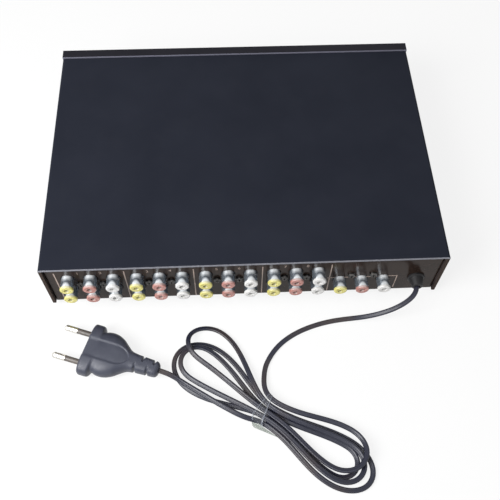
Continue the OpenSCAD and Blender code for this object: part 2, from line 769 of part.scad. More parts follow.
module mains_wires() color([0.35, 0.2, 0.12]) at_rear() {
  tube([
    [gland_x - core_pair, cord_end, gland_z], [gland_x - core_pair, cord_end - 6, gland_z],
    [wire_side, cord_end - 20, wire_z + 4], [wire_side, cord_end - 36, wire_z],
    [wire_side, terminal_y + 34, wire_z], [wire_side + 3, terminal_y + 18, wire_z + 6],
    [button_x - tab_x, terminal_y + 7, button_axis_z], [button_x - tab_x, terminal_y, button_axis_z]
  ], wire_d, wire_sides);
  tube([
    [gland_x + core_pair, cord_end, gland_z], [gland_x + core_pair, cord_end - 6, gland_z],
    [wire_side + wire_gap, cord_end - 20, wire_z + 4], [wire_side + wire_gap, cord_end - 36, wire_z],
    [wire_side + wire_gap, coil_rear + 22, wire_z], [wire_side + 10, coil_rear + 12, wire_z + 4],
    [primary_x - 3, coil_rear + 8, primary_z], [primary_x, coil_rear + 5, primary_z],
    [primary_x, coil_rear, primary_z]
  ], wire_d, wire_sides);
  tube([
    [button_x + tab_x, terminal_y, button_axis_z], [button_x + tab_x, terminal_y + 5, button_axis_z],
    [button_x + 10, terminal_y + 8, button_axis_z], [primary_x - 3, coil_front - 9, primary_z],
    [primary_x, coil_front - 5, primary_z], [primary_x, coil_front, primary_z]
  ], wire_d, wire_sides);
}

module secondary_wires() color([0.75, 0.6, 0.15]) at_rear() for (k = [0, 1]) {
  hx = header_x[0] + (k + 0.5) * header_wire_pitch;
  sx = secondary_x + k * wire_gap;
  tube([
    [sx, coil_rear, primary_z], [sx, coil_rear + 4, primary_z],
    [hx, header_y - 5, header_wire_z], [hx, header_y, header_wire_z]
  ], wire_d, wire_sides);
}

light_back = light_rim_y + light_rim_t;
light_pair = 1.1;
light_turn = core_x + strap_half + strap_tab + wire_gap;

module light_wires() color([0.5, 0.15, 0.12]) at_rear() for (k = [0, 1]) {
  s = 2 * k * light_pair;
  lx = light_x - light_pair + s;
  hx = header_x[1] + (k + 0.5) * header_wire_pitch;
  tube([
    [lx, light_back, button_axis_z], [lx, light_back + 8, button_axis_z],
    [lx + 9, light_back + 16 - s, button_axis_z - 4], [light_turn - 8 + s, light_back + 22 - s, wire_z + 3],
    [light_turn + s, light_back + 32, wire_z], [light_turn + s, board_front - 26, wire_z + 2],
    [hx, header_y - 6, header_wire_z], [hx, header_y, header_wire_z]
  ], wire_d, wire_sides);
}

// Cord gland

gland_tip = fascia_y + gland_reach;
gland_bore = cord_d + 2 * cord_gap;
gland_flange_t = 1.6;
gland_edge = 0.5;
barb_l = 1.5;

module cord_gland() color([0.06, 0.06, 0.065]) at_rear()
  translate([gland_x, 0, gland_z]) rotate([-90, 0, 0]) rotate_extrude() polygon([
    [gland_bore / 2, cord_end], [gland_neck_d / 2 - gland_edge, cord_end],
    [gland_barb_d / 2, wall_in - barb_l], [gland_barb_d / 2, wall_in],
    [gland_neck_d / 2, wall_in], [gland_neck_d / 2, fascia_y],
    [gland_d / 2, fascia_y], [gland_d / 2, fascia_y + gland_flange_t - gland_edge],
    [gland_d / 2 - gland_edge, fascia_y + gland_flange_t],
    [gland_tip_d / 2 + gland_lip, fascia_y + gland_flange_t],
    [gland_tip_d / 2, gland_tip - gland_edge], [gland_tip_d / 2 - gland_edge, gland_tip],
    [gland_bore / 2, gland_tip]
  ]);

// Hank: half turns that swing round a fold and come back through the tied waist

hank_at = [-8.5, 78];
hank_turn = 146;
strand_step = cord_d + 0.5;
waist_step = cord_d + 0.9;
upper_shift = 2.8;
entry_shift = 0.6;
lane = [for (k = [-1.5, -0.5, 0.5, 1.5]) k * waist_step];
upper_lane = [for (v = lane) v - upper_shift];
entry_lane = upper_lane[0] - entry_shift;
tie_t = 0.5;
tie_gap = 0.4;
tie_w = 8;
tie_side = 2.2;
lie_low = cord_d / 2;
lie_high = lie_low + strand_step;
lie_over = lie_high + strand_step;
waist_low = lie_low + tie_t + tie_gap;
waist_high = waist_low + waist_step;
run_steps = 3;
fold_steps = 6;
half_steps = 2 * run_steps + fold_steps;

// Point of the hank's own plan, at height z
function on_floor(q, z) = [
  hank_at[0] + q[0] * cos(hank_turn) + q[1] * sin(hank_turn),
  hank_at[1] + q[0] * sin(hank_turn) - q[1] * cos(hank_turn),
  z
];

// Run from the lane v at the waist to the loop's edge at its widest place, at share t of the way
function on_run(wide, v, edge, pinch, t) = [wide * t, v + (edge - v) * pow(sin(90 * t), pinch)];

// Plan of one half turn: out from the lane v_in along the first edge, round an elliptic fold whose tip
// is the furthest place, and back along the second edge to the lane v_out
function half_plan(wide, tip, edges, pinch, v_in, v_out) = let(
  middle = (edges[0] + edges[1]) / 2,
  half = (edges[1] - edges[0]) / 2
) concat(
  [for (i = [0:run_steps - 1]) on_run(wide, v_in, edges[0], pinch, i / run_steps)],
  [
    for (i = [0:fold_steps]) let(a = 180 * i / fold_steps - 90)
      [wide + (tip - wide) * cos(a), middle + half * sin(a)]
  ],
  [for (i = [run_steps - 1:-1:1]) on_run(wide, v_out, edges[1], pinch, i / run_steps)]
);

// One half turn in space, on the right or on the left of the waist
right_pinch = 2.4;
left_pinch = 1.6;
function half_turn(side, wide, tip, edges, v_in, v_out, heights) =
  let(plan = half_plan(wide, tip, edges, side > 0 ? right_pinch : left_pinch, v_in, v_out))
  [for (i = [0:half_steps - 1]) on_floor([side * plan[i][0], plan[i][1]], lookup(i / half_steps, heights))];

// Rise and fall along a half turn
flat_low = [[0, waist_low], [0.2, lie_low], [0.8, lie_low], [1, waist_low]];
flat_high = [[0, waist_high], [0.2, lie_high], [0.8, lie_high], [1, waist_high]];
climb_down = [
  [0, waist_high], [0.2, lie_high], [0.75, lie_high], [0.84, lie_low + 1.6], [0.92, lie_low + 0.4],
  [1, waist_low]
];
right_stray = [
  [0, waist_high], [0.17, lie_high + 0.2], [0.33, lie_high + 1], [0.42, lie_over], [0.58, lie_over],
  [0.67, lie_high + 1.6], [0.75, lie_high], [0.83, lie_high], [1, waist_high]
];
left_stray = [
  [0, waist_high], [0.17, lie_high + 0.6], [0.25, lie_over], [0.33, lie_over + 0.2], [0.42, lie_over],
  [0.5, lie_high], [0.58, lie_low + 1], [0.67, lie_low], [0.83, lie_low + 1], [0.92, lie_high + 0.6],
  [1, waist_high]
];

// The lead comes in over the upper edge of the waist
join_at = [-12.4, -19.6];
join_way = unit([0.5, 1]);
join_z = lie_low + 0.8;
hank_entry = [
  on_floor(join_at, join_z), on_floor(join_at + 4 * join_way, join_z + 1.2),
  on_floor([-7.6, entry_lane - 3.4], lie_high - 0.8), on_floor([-3.8, entry_lane - 1.3], lie_high + 0.5)
];

// The plug lies flat on its wide side, turned towards its pins
plug_at = [100.4, 34.2, plug_t / 2];
plug_turn = -19.5;
plug_way = [cos(plug_turn), sin(plug_turn), 0];
plug_tail = plug_at - plug_l * plug_way;

// The last run climbs onto the lower edge of the left fold and rises into the plug
hank_exit = [
  on_floor([0, lane[3]], waist_low), on_floor([-7, 8.6], waist_low + 1.6),
  on_floor([-14, 9.6], lie_high - 0.4), on_floor([-24, 10.2], lie_high + 0.2),
  on_floor([-35, 10.4], lie_high + 0.2), on_floor([-46, 10.5], lie_high + 0.2),
  on_floor([-53, 10.6], lie_high + 0.3),
  plug_tail - 8.5 * plug_way - [0, 0, 0.6], plug_tail - 4 * plug_way, plug_tail
];

hank_path = concat(
  hank_entry,
  half_turn(1, 50, 64.8, [-18, 7.6], entry_lane, upper_lane[2], right_stray),
  half_turn(-1, 51.5, 66.8, [-6.6, -31], upper_lane[2], upper_lane[1], left_stray),
  half_turn(1, 53.5, 67.2, [-10.2, 13], upper_lane[1], upper_lane[3], flat_high),
  half_turn(-1, 51.2, 63.4, [6, -15.8], upper_lane[3], lane[1], climb_down),
  half_turn(1, 53, 63, [-8.6, 10.6], lane[1], lane[2], flat_low),
  half_turn(-1, 46.5, 67.1, [12.1, -19.9], lane[2], lane[0], flat_low),
  half_turn(1, 52.5, 73.2, [-12.7, 16.2], lane[0], lane[3], flat_low),
  hank_exit
);

// Length of a path
function path_length(p) = [for (i = [1:len(p) - 1]) norm(p[i] - p[i - 1])] * [for (i = [1:len(p) - 1]) 1];

// Least gap of a tube to itself, measured on points spread along its path
gap_steps = 4;
gap_skip = 10;
function spread(p) =
  [for (i = [0:len(p) - 2], k = [0:gap_steps - 1]) p[i] + (p[i + 1] - p[i]) * k / gap_steps];
function least_gap(p, d) = let(q = spread(p))
  min([for (i = [0:len(q) - 1 - gap_skip]) min([for (j = [i + gap_skip:len(q) - 1]) norm(q[j] - q[i])])]) - d;

// Points of the lead behind the case: out of the gland, down to the floor and across to the hank
lead_path = concat(
  [[gland_x, cord_end, gland_z], [gland_x, gland_tip, gland_z], [gland_x + 0.4, gland_tip + 2.6, gland_z]],
  [
    [-106.6, 11.2, 18.6], [-103, 13.8, 17.2], [-98.4, 15.8, 15], [-92.6, 17.2, 11.8],
    [-86, 17.8, 8.4], [-79, 17.9, 5.2], [-72, 17.7, 2.9], [-64, 17.8, 1.9], [-56, 18.6, 1.7],
    [-48, 20.2, 1.7], [-40.6, 22.4, 1.7], [-33.4, 25.2, 1.7], [-26.8, 28.8, 1.7],
    [-21, 33, 1.7], [-16.2, 38, 1.7], [-12.6, 43.6, 1.7]
  ],
  [
    on_floor(join_at - 7 * join_way, join_z - 0.8), on_floor(join_at - 3 * join_way, join_z - 0.5),
    on_floor(join_at, join_z)
  ]
);

module cord_lead() color([0.1, 0.1, 0.11]) at_rear() {
  echo(lead_length = path_length(lead_path));
  tube(lead_path, cord_d, lead_sides);
}

module cord_hank() color([0.1, 0.1, 0.11]) at_rear() {
  echo(hank_length = path_length(hank_path), hank_gap = least_gap(hank_path, cord_d));
  tube(hank_path, cord_d, hank_sides);
}

// A clear band round the waist, with its two ends stuck together as a flag
tie_in_w = lane[3] - entry_lane + cord_d + 2 * tie_side;
tie_in_h = waist_step + cord_d + 2 * tie_gap;
tie_middle = (lane[3] + entry_lane) / 2;
tie_r = 2.5;
flag_l = 9;

module round_rect(w, h, r) {
  translate([-w / 2, r]) square([w, h - 2 * r]);
  translate([-w / 2 + r, 0]) square([w - 2 * r, h]);
  for (s = [-1, 1], z = [r, h - r]) translate([s * (w / 2 - r), z]) circle(r = r);
}

module cord_tie() color([0.75, 0.77, 0.75]) at_rear()
  translate([hank_at[0], hank_at[1], 0]) rotate([0, 0, hank_turn]) rotate([90, 0, 90])
    translate([-tie_middle, 0, -tie_w / 2]) linear_extrude(tie_w) {
      difference() {
        round_rect(tie_in_w + 2 * tie_t, tie_in_h + 2 * tie_t, tie_r + tie_t);
        translate([0, tie_t]) round_rect(tie_in_w, tie_in_h, tie_r);
      }
      translate([-tie_in_w / 2 - tie_t - flag_l, tie_in_h / 2]) square([flag_l + tie_t / 2, tie_t]);
    }

// Plug

module on_plug() at_rear() translate(plug_at) rotate([0, 0, plug_turn]) children();

relief_w = 10;
relief_tip = 8;
relief_l = 20;
relief_slots = 4;
slot_w = 1.4;
slot_pitch = 3.6;
slot_start = 4;
slot_core = 1.6;
neck_x = -plug_l + relief_l;
neck_l = 4;
neck_swell = 2.6;
shoulder = 3;
shoulder_l = 1.5;
cheek = 2.2;
cheek_l = 7;
slope_l = 6;
pin_seat = 6;
sleeve_step = 0.2;
sleeve_d = pin_d - 2 * sleeve_step;
core_d = sleeve_d - 2 * sleeve_t - 2 * thread_gap;

// One side of the plug seen from above, from the pin face to the strain relief
plug_edge = [
  [0, plug_w / 2], [-plug_collar, plug_w / 2], [-plug_collar - shoulder_l, plug_w / 2 - shoulder],
  [-plug_collar - cheek_l, plug_w / 2 - shoulder - cheek], [neck_x + neck_l, relief_w / 2 + neck_swell],
  [neck_x, relief_w / 2], [-plug_l, relief_tip / 2]
];

// One side of the plug seen edge on: full thickness at the pin face, thinner towards the strain relief
plug_flank = [
  [0, plug_t / 2], [-plug_collar - slope_l, plug_t / 2], [neck_x, relief_w / 2], [-plug_l, relief_tip / 2]
];

// A closed outline from one side and its mirror image
module both_sides(side) {
  n = len(side);
  polygon(concat(side, [for (i = [n - 1:-1:0]) [side[i][0], -side[i][1]]]));
}

module plug_body() color([0.07, 0.07, 0.075]) on_plug() difference() {
  intersection() {
    translate([0, 0, -plug_t]) linear_extrude(2 * plug_t) both_sides(plug_edge);
    translate([0, plug_w, 0]) rotate([90, 0, 0]) linear_extrude(2 * plug_w) both_sides(plug_flank);
  }
  for (k = [0:relief_slots - 1], s = [0, 1]) mirror([0, s, 0])
    translate([-plug_l + slot_start + k * slot_pitch, slot_core, -plug_t]) cube([slot_w, plug_w, 2 * plug_t]);
  for (s = [-1, 1]) translate([0, s * pin_pitch / 2, 0]) rod_x(core_d + 2 * thread_gap, -pin_seat, 1);
}

module plug_pins() color([0.82, 0.82, 0.8]) on_plug()
  for (s = [-1, 1]) translate([0, s * pin_pitch / 2, 0]) {
    rod_x(core_d, -pin_seat, sleeve_l + eps);
    rod_x(pin_d, sleeve_l, pin_l - pin_d / 2);
    translate([pin_l - pin_d / 2, 0, 0]) sphere(d = pin_d);
  }

module plug_pin_sleeves() color([0.06, 0.06, 0.06]) on_plug()
  for (s = [-1, 1]) translate([0, s * pin_pitch / 2, 0]) difference() {
    rod_x(sleeve_d, 0, sleeve_l);
    rod_x(sleeve_d - 2 * sleeve_t, -1, sleeve_l + 1);
  }

base_chassis();
top_cover();
front_panel();
rear_panel();
rear_fascia();
rubber_feet();
foot_screws();
cover_screws();
front_panel_screws();
jack_screws();
main_board();
board_spacers();
board_screws();
output_housing_1();
output_housing_2();
output_housing_3();
output_housing_4();
input_housing();
jack_shells();
jack_inserts_yellow();
jack_inserts_red();
jack_inserts_white();
jack_contacts();
amplifier_chips();
chip_resistors();
signal_capacitors();
filter_capacitors();
rectifier_diodes();
voltage_regulator();
heat_sink();
wire_headers();
transformer_core();
transformer_coil();
transformer_strap();
transformer_screws();
switch_body();
switch_screws();
switch_plunger();
button_cap();
power_light();
mains_wires();
secondary_wires();
light_wires();
cord_gland();
cord_lead();
cord_hank();
cord_tie();
plug_body();
plug_pins();
plug_pin_sleeves();
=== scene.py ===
import json
import math

import bmesh
import bpy
from mathutils import Matrix, Vector


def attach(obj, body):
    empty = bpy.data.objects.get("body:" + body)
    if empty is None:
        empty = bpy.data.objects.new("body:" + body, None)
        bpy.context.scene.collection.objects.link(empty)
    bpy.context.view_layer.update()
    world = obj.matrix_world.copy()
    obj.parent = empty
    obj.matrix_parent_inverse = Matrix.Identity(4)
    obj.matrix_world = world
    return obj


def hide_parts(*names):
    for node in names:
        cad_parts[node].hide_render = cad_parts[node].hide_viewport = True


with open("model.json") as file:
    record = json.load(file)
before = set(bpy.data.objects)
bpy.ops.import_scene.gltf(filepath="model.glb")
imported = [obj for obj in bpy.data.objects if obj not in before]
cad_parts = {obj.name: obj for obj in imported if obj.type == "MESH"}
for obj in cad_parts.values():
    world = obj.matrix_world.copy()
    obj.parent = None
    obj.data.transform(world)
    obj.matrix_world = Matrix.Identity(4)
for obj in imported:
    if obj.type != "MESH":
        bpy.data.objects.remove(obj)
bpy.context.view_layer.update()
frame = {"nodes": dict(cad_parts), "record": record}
NODES = frame["nodes"]
MM = 0.001

# Camera at the photograph's view

CAMERA_AT = (0.01158, 0.29444, 0.41599)
CAMERA_YAW = 3.846
CAMERA_DIP = 59.793
CAMERA_ROLL = 1.479
CAMERA_LENS = 50.39
CAMERA_NEAR = 0.01


def make_camera():
    """Camera placed by its turn, its dip below level and its roll, in degrees."""
    yaw, dip, roll = (math.radians(a) for a in (CAMERA_YAW, CAMERA_DIP, CAMERA_ROLL))
    ahead = Vector((-math.sin(yaw) * math.cos(dip), -math.cos(yaw) * math.cos(dip), -math.sin(dip)))
    level = Vector((-math.cos(yaw), math.sin(yaw), 0))
    upright = level.cross(ahead)
    right = level * math.cos(roll) + upright * math.sin(roll)
    up = upright * math.cos(roll) - level * math.sin(roll)
    data = bpy.data.cameras.new("camera")
    data.lens = CAMERA_LENS
    data.clip_start = CAMERA_NEAR
    camera = bpy.data.objects.new("camera", data)
    turned = Matrix((right, up, -ahead)).transposed().to_4x4()
    camera.matrix_world = Matrix.Translation(CAMERA_AT) @ turned
    bpy.context.collection.objects.link(camera)
    bpy.context.scene.camera = camera


make_camera()

# Mesh helpers


def add_object(name, mesh):
    """A mesh as a piece that moves with the case."""
    obj = bpy.data.objects.new(name, mesh)
    bpy.context.collection.objects.link(obj)
    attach(obj, "case")
    return obj


def mesh_from(name, points, faces):
    """A smooth mesh of these points, in millimetres, and faces."""
    mesh = bpy.data.meshes.new(name)
    mesh.from_pydata([Vector(p) * MM for p in points], [], faces)
    mesh.update()
    mesh.polygons.foreach_set("use_smooth", [True] * len(mesh.polygons))
    return mesh


def skin(rings):
    """Points and faces of a closed tube through rings that all have the same number of points."""
    count = len(rings[0])
    points = [p for ring in rings for p in ring]
    faces = []
    for i in range(len(rings) - 1):
        for k in range(count):
            a, b = i * count + k, i * count + (k + 1) % count
            faces.append((a, b, b + count, a + count))
    faces.append(tuple(reversed(range(count))))
    faces.append(tuple(range((len(rings) - 1) * count, len(rings) * count)))
    return points, faces


# Route of the mains cord, in millimetres, with y counted from the case's rear edge

REAR_Y = 90.0
CORD_D = 3.4
GLAND_X, GLAND_Z = -109.5, 19.6
GLAND_TIP = 5.5
CORD_START = -8.6
HANK_AT = Vector((-8.5, 78))
HANK_TURN = math.radians(146)
# The route's heights are those of the solids' round cord. The twin cord is flatter, so it lies closer
TWIN_W = 3.2
TWIN_T = 1.9
STRAND_GAP = 0.5
LAYER_GAP = 0.9
LANE_GAP = 0.4
FLOOR_GAP = 0.3
FLAT_GAP = 0.7
TIE_ROOM = 0.9
STRAND_STEP = CORD_D + STRAND_GAP
LAYER_STEP = CORD_D + LAYER_GAP
LANE_STEP = TWIN_W + LANE_GAP
# Lanes of the strands across the waist: four below, four above them, and the one the lead comes in on
UPPER_SHIFT = 2.4
ENTRY_SHIFT = 0.6
LANES = [k * LANE_STEP for k in (-1.5, -0.5, 0.5, 1.5)]
UPPER_LANES = [v - UPPER_SHIFT for v in LANES]
ENTRY_LANE = UPPER_LANES[0] - ENTRY_SHIFT
# Heights of a strand's middle: on the floor, on one strand, on two, and in the two layers of the waist
LIE_LOW = CORD_D / 2
LIE_HIGH = LIE_LOW + STRAND_STEP
LIE_OVER = LIE_HIGH + STRAND_STEP
WAIST_LOW = LIE_LOW + TIE_ROOM
WAIST_HIGH = WAIST_LOW + LAYER_STEP
# The same for the flat cord: its height on the floor, and how much closer its layers lie
LIE_FLAT = TWIN_T / 2 + FLOOR_GAP
FLAT_STEP = TWIN_T + FLAT_GAP
HANK_SQUEEZE = FLAT_STEP / STRAND_STEP
RUN_STEPS = 6
FOLD_STEPS = 12
HALF_STEPS = 2 * RUN_STEPS + FOLD_STEPS
RIGHT_PINCH = 2.4
LEFT_PINCH = 1.6
PLUG_AT = Vector((100.4, 34.2, 7))
PLUG_TURN = math.radians(-19.5)
PLUG_L = 48.0
PLUG_WAY = Vector((math.cos(PLUG_TURN), math.sin(PLUG_TURN), 0))
PLUG_TAIL = PLUG_AT - PLUG_L * PLUG_WAY


def from_rear(p):
    """A point with its y counted from the case's rear edge, in the part's frame."""
    return p + Vector((0, REAR_Y, 0))


def on_floor(q, z):
    """Point q of the hank's own plan, at height z."""
    c, s = math.cos(HANK_TURN), math.sin(HANK_TURN)
    return Vector((HANK_AT[0] + q[0] * c + q[1] * s, HANK_AT[1] + q[0] * s - q[1] * c, z))


def lookup(t, table):
    """Value at t of a table of (place, value) rows, on straight lines between the rows."""
    for (t0, v0), (t1, v1) in zip(table, table[1:]):
        if t <= t1:
            return v0 + (v1 - v0) * (t - t0) / (t1 - t0)
    return table[-1][1]


def on_run(wide, v, edge, pinch, t):
    """Share t of a run from lane v at the waist to the loop's edge at its widest place."""
    return (wide * t, v + (edge - v) * math.sin(math.pi / 2 * t) ** pinch)


def half_turn(side, wide, tip, edges, v_in, v_out, heights):
    """One half turn of the hank: out along one edge of a loop, round its fold and back along the other."""
    pinch = RIGHT_PINCH if side > 0 else LEFT_PINCH
    middle, half = (edges[0] + edges[1]) / 2, (edges[1] - edges[0]) / 2
    plan = [on_run(wide, v_in, edges[0], pinch, i / RUN_STEPS) for i in range(RUN_STEPS)]
    for i in range(FOLD_STEPS + 1):
        angle = math.pi * (i / FOLD_STEPS - 0.5)
        plan.append((wide + (tip - wide) * math.cos(angle), middle + half * math.sin(angle)))
    plan += [on_run(wide, v_out, edges[1], pinch, i / RUN_STEPS) for i in range(RUN_STEPS - 1, 0, -1)]
    return [on_floor((side * u, v), lookup(i / HALF_STEPS, heights)) for i, (u, v) in enumerate(plan)]


# Heights along a half turn, as (share of the way, height) rows
FLAT_LOW = [(0, WAIST_LOW), (0.2, LIE_LOW), (0.8, LIE_LOW), (1, WAIST_LOW)]
FLAT_HIGH = [(0, WAIST_HIGH), (0.2, LIE_HIGH), (0.8, LIE_HIGH), (1, WAIST_HIGH)]
CLIMB_DOWN = [
    (0, WAIST_HIGH), (0.2, LIE_HIGH), (0.75, LIE_HIGH), (0.84, LIE_LOW + 1.6), (0.92, LIE_LOW + 0.4),
    (1, WAIST_LOW),
]
RIGHT_STRAY = [
    (0, WAIST_HIGH), (0.17, LIE_HIGH + 0.2), (0.33, LIE_HIGH + 1), (0.42, LIE_OVER), (0.58, LIE_OVER),
    (0.67, LIE_HIGH + 1.6), (0.75, LIE_HIGH), (0.83, LIE_HIGH), (1, WAIST_HIGH),
]
LEFT_STRAY = [
    (0, WAIST_HIGH), (0.17, LIE_HIGH + 0.6), (0.25, LIE_OVER), (0.33, LIE_OVER + 0.2), (0.42, LIE_OVER),
    (0.5, LIE_HIGH), (0.58, LIE_LOW + 1), (0.67, LIE_LOW), (0.83, LIE_LOW + 1), (0.92, LIE_HIGH + 0.6),
    (1, WAIST_HIGH),
]
# The half turns in order: side, widest place, tip, edges of the loop, lanes in and out, heights
HALF_TURNS = [
    (1, 50, 64.8, (-18, 7.6), ENTRY_LANE, UPPER_LANES[2], RIGHT_STRAY),
    (-1, 51.5, 66.8, (-6.6, -31), UPPER_LANES[2], UPPER_LANES[1], LEFT_STRAY),
    (1, 53.5, 67.2, (-10.2, 13), UPPER_LANES[1], UPPER_LANES[3], FLAT_HIGH),
    (-1, 51.2, 63.4, (6, -15.8), UPPER_LANES[3], LANES[1], CLIMB_DOWN),
    (1, 53, 63, (-8.6, 10.6), LANES[1], LANES[2], FLAT_LOW),
    (-1, 46.5, 67.1, (12.1, -19.9), LANES[2], LANES[0], FLAT_LOW),
    (1, 52.5, 73.2, (-12.7, 16.2), LANES[0], LANES[3], FLAT_LOW),
]
# The lead's first points in the gland, its points in the air and its points on the floor
LEAD_HELD = [
    (GLAND_X, CORD_START, GLAND_Z), (GLAND_X, GLAND_TIP, GLAND_Z),
    (GLAND_X + 0.4, GLAND_TIP + 2.6, GLAND_Z),
]
LEAD_FALLING = [
    (-106.6, 11.2, 18.6), (-103, 13.8, 17.2), (-98.4, 15.8, 15), (-92.6, 17.2, 11.8), (-86, 17.8, 8.4),
    (-79, 17.9, 5.2), (-72, 17.7, 2.9), (-64, 17.8, 1.9),
]
LEAD_LYING = [
    (-56, 18.6), (-48, 20.2), (-40.6, 22.4), (-33.4, 25.2), (-26.8, 28.8), (-21, 33), (-16.2, 38),
    (-12.6, 43.6),
]
# Where the lead joins the hank, and the points before and after it as (reach, height above it) pairs
JOIN_AT = Vector((-12.4, -19.6))
JOIN_WAY = Vector((0.5, 1)).normalized()
JOIN_Z = LIE_LOW + 0.8
JOIN_BEFORE = [(-7, -0.8), (-3, -0.5)]
JOIN_AFTER = [(0, 0), (4, 1.2)]
# Points in the hank's plan with their heights: on to its first half turn and off its last one
HANK_IN = [((-7.6, ENTRY_LANE - 3.4), LIE_HIGH - 0.8), ((-3.8, ENTRY_LANE - 1.3), LIE_HIGH + 0.5)]
HANK_OUT = [
    ((0, LANES[3]), WAIST_LOW), ((-7, 8.6), WAIST_LOW + 1.6), ((-14, 9.6), LIE_HIGH - 0.4),
    ((-24, 10.2), LIE_HIGH + 0.2), ((-35, 10.4), LIE_HIGH + 0.2), ((-46, 10.5), LIE_HIGH + 0.2),
    ((-53, 10.6), LIE_HIGH + 0.3),
]
# Points near the plug's tail as (reach into it, height above its axis) pairs
TAIL_IN = [(-8.5, -1.4), (-4, -0.4), (2, 0)]


def near_join(rows):
    """Points along the line on which the lead joins the hank."""
    return [on_floor(JOIN_AT + reach * JOIN_WAY, JOIN_Z + rise) for reach, rise in rows]


def lead_points():
    """From the gland down to the floor and across to the hank."""
    lying = [(x, y, LIE_LOW) for x, y in LEAD_LYING]
    return [Vector(p) for p in LEAD_HELD + LEAD_FALLING + lying] + near_join(JOIN_BEFORE)


def hank_points():
    """In over the waist, seven half turns, and out over the lower edge of the left fold."""
    points = near_join(JOIN_AFTER) + [on_floor(q, z) for q, z in HANK_IN]
    for turn in HALF_TURNS:
        points += half_turn(*turn)
    return points + [on_floor(q, z) for q, z in HANK_OUT]


def tail_points():
    """Off the hank and up into the plug."""
    return [PLUG_TAIL + reach * PLUG_WAY + Vector((0, 0, rise)) for reach, rise in TAIL_IN]


def settle(points, held):
    """Lowers points onto the floor, less and less towards the height at which their end is held."""
    drop = LIE_LOW - LIE_FLAT
    return [p - Vector((0, 0, drop * max(0, held - p.z) / (held - LIE_LOW))) for p in points]


def squeeze(points):
    """Brings the hank's layers together."""
    return [Vector((p.x, p.y, LIE_FLAT + (p.z - LIE_LOW) * HANK_SQUEEZE)) for p in points]


def even_path(points, step):
    """Points a step apart along straight lines through these points."""
    path, left = [points[0]], step
    for a, b in zip(points, points[1:]):
        reach = (b - a).length
        while left < reach:
            path.append(a + (b - a) * (left / reach))
            left += step
        left -= reach
    return path + [points[-1]]


def smooth_path(points, rounds):
    """Rounds the corners of a path by drawing each point towards its neighbours, with both ends held."""
    for _ in range(rounds):
        inner = [(a + 2 * b + c) / 4 for a, b, c in zip(points, points[1:], points[2:])]
        points = [points[0]] + inner + [points[-1]]
    return points


PATH_STEP = 2.0
PATH_ROUNDS = 7
CORE_R = TWIN_T / 2
CORE_X = TWIN_W / 2 - CORE_R
CORE_POINTS = 9
TWIST = math.radians(24)
TWIST_PERIOD = 45.0


def twin_section():
    """Outline of two round cores side by side, as (sideways, upwards) pairs."""
    open_angle = math.pi - math.acos(CORE_X / CORE_R)
    half = []
    for i in range(CORE_POINTS):
        angle = open_angle * (1 - 2 * i / (CORE_POINTS - 1))
        half.append((CORE_X + CORE_R * math.cos(angle), CORE_R * math.sin(angle)))
    return half[:-1] + [(-x, -y) for x, y in half][:-1]


def make_cord():
    """The cord's mesh, gently twisted along its path, and the path."""
    points = settle(lead_points(), GLAND_Z) + squeeze(hank_points()) + tail_points()
    path = [from_rear(p) for p in smooth_path(even_path(points, PATH_STEP), PATH_ROUNDS)]
    section = twin_section()
    rings, way = [], 0.0
    for i, p in enumerate(path):
        ahead = (path[min(i + 1, len(path) - 1)] - path[max(i - 1, 0)]).normalized()
        side = ahead.cross(Vector((0, 0, 1))).normalized()
        over = side.cross(ahead)
        way += (p - path[i - 1]).length if i else 0
        turn = TWIST * math.sin(way / TWIST_PERIOD)
        c, s = math.cos(turn), math.sin(turn)
        rings.append([p + side * (x * c - y * s) + over * (x * s + y * c) for x, y in section])
    cord = add_object("mains_cord", mesh_from("mains_cord", *skin(rings)))
    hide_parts("cord_lead", "cord_hank")
    return cord, path


cord, cord_path = make_cord()

# Clear tie round the waist of the hank

FILM_T = 0.25
FILM_GAP = 0.3
TIE_SIDE = 0.5
TIE_FAR_SIDE = 1.6
TIE_LOW = 0.3
TIE_RIGHT = LANES[3] + TWIN_W / 2 + TIE_SIDE
TIE_LEFT = ENTRY_LANE - TWIN_W / 2 - TIE_FAR_SIDE
TIE_HIGH = LIE_FLAT + (WAIST_HIGH - LIE_LOW) * HANK_SQUEEZE + TWIN_T / 2 + FILM_GAP
TIE_CORNER = 2.2
CORNER_STEPS = 6
FLAG_GAP = 0.2
FLAG_FROM = TIE_RIGHT + FLAG_GAP
FLAG_L = 3.0
FLAG_STEPS = 6
FLAG_FAN = 11.0
FLAG_Z = 1.9
FLAG_NARROW = 0.75
FLAG_NARROW_FROM = 0.6
# The flag's two layers: half the space between them, in film thicknesses, and how it changes outwards
FLAG_HALF = 0.6
FLAG_LOW_OPENS = 0.1
FLAG_HIGH_CLOSES = 0.05
TIE_COLUMNS = 25
# Columns along the film's two long edges that take the painted highlight lines
NEAR_EDGE_COLUMNS = 2
FAR_EDGE_COLUMNS = 3
EDGE_CURL = 0.35
CURL_WIDTH = 0.2
WAVE_HEIGHT = 0.15
WAVE_ROUND = 0.5
WAVE_ACROSS = 3
# The film's two long edges: their place on the hank's middle line, and how they slant
NEAR_EDGE, NEAR_SLANT = -8.5, 0.5
FAR_EDGE, FAR_SLANT = 0.9, 0.2


def tie_edges(v):
    """Where the film's two long edges lie along the hank, at place v across it."""
    return NEAR_EDGE + NEAR_SLANT * abs(v), FAR_EDGE + FAR_SLANT * v


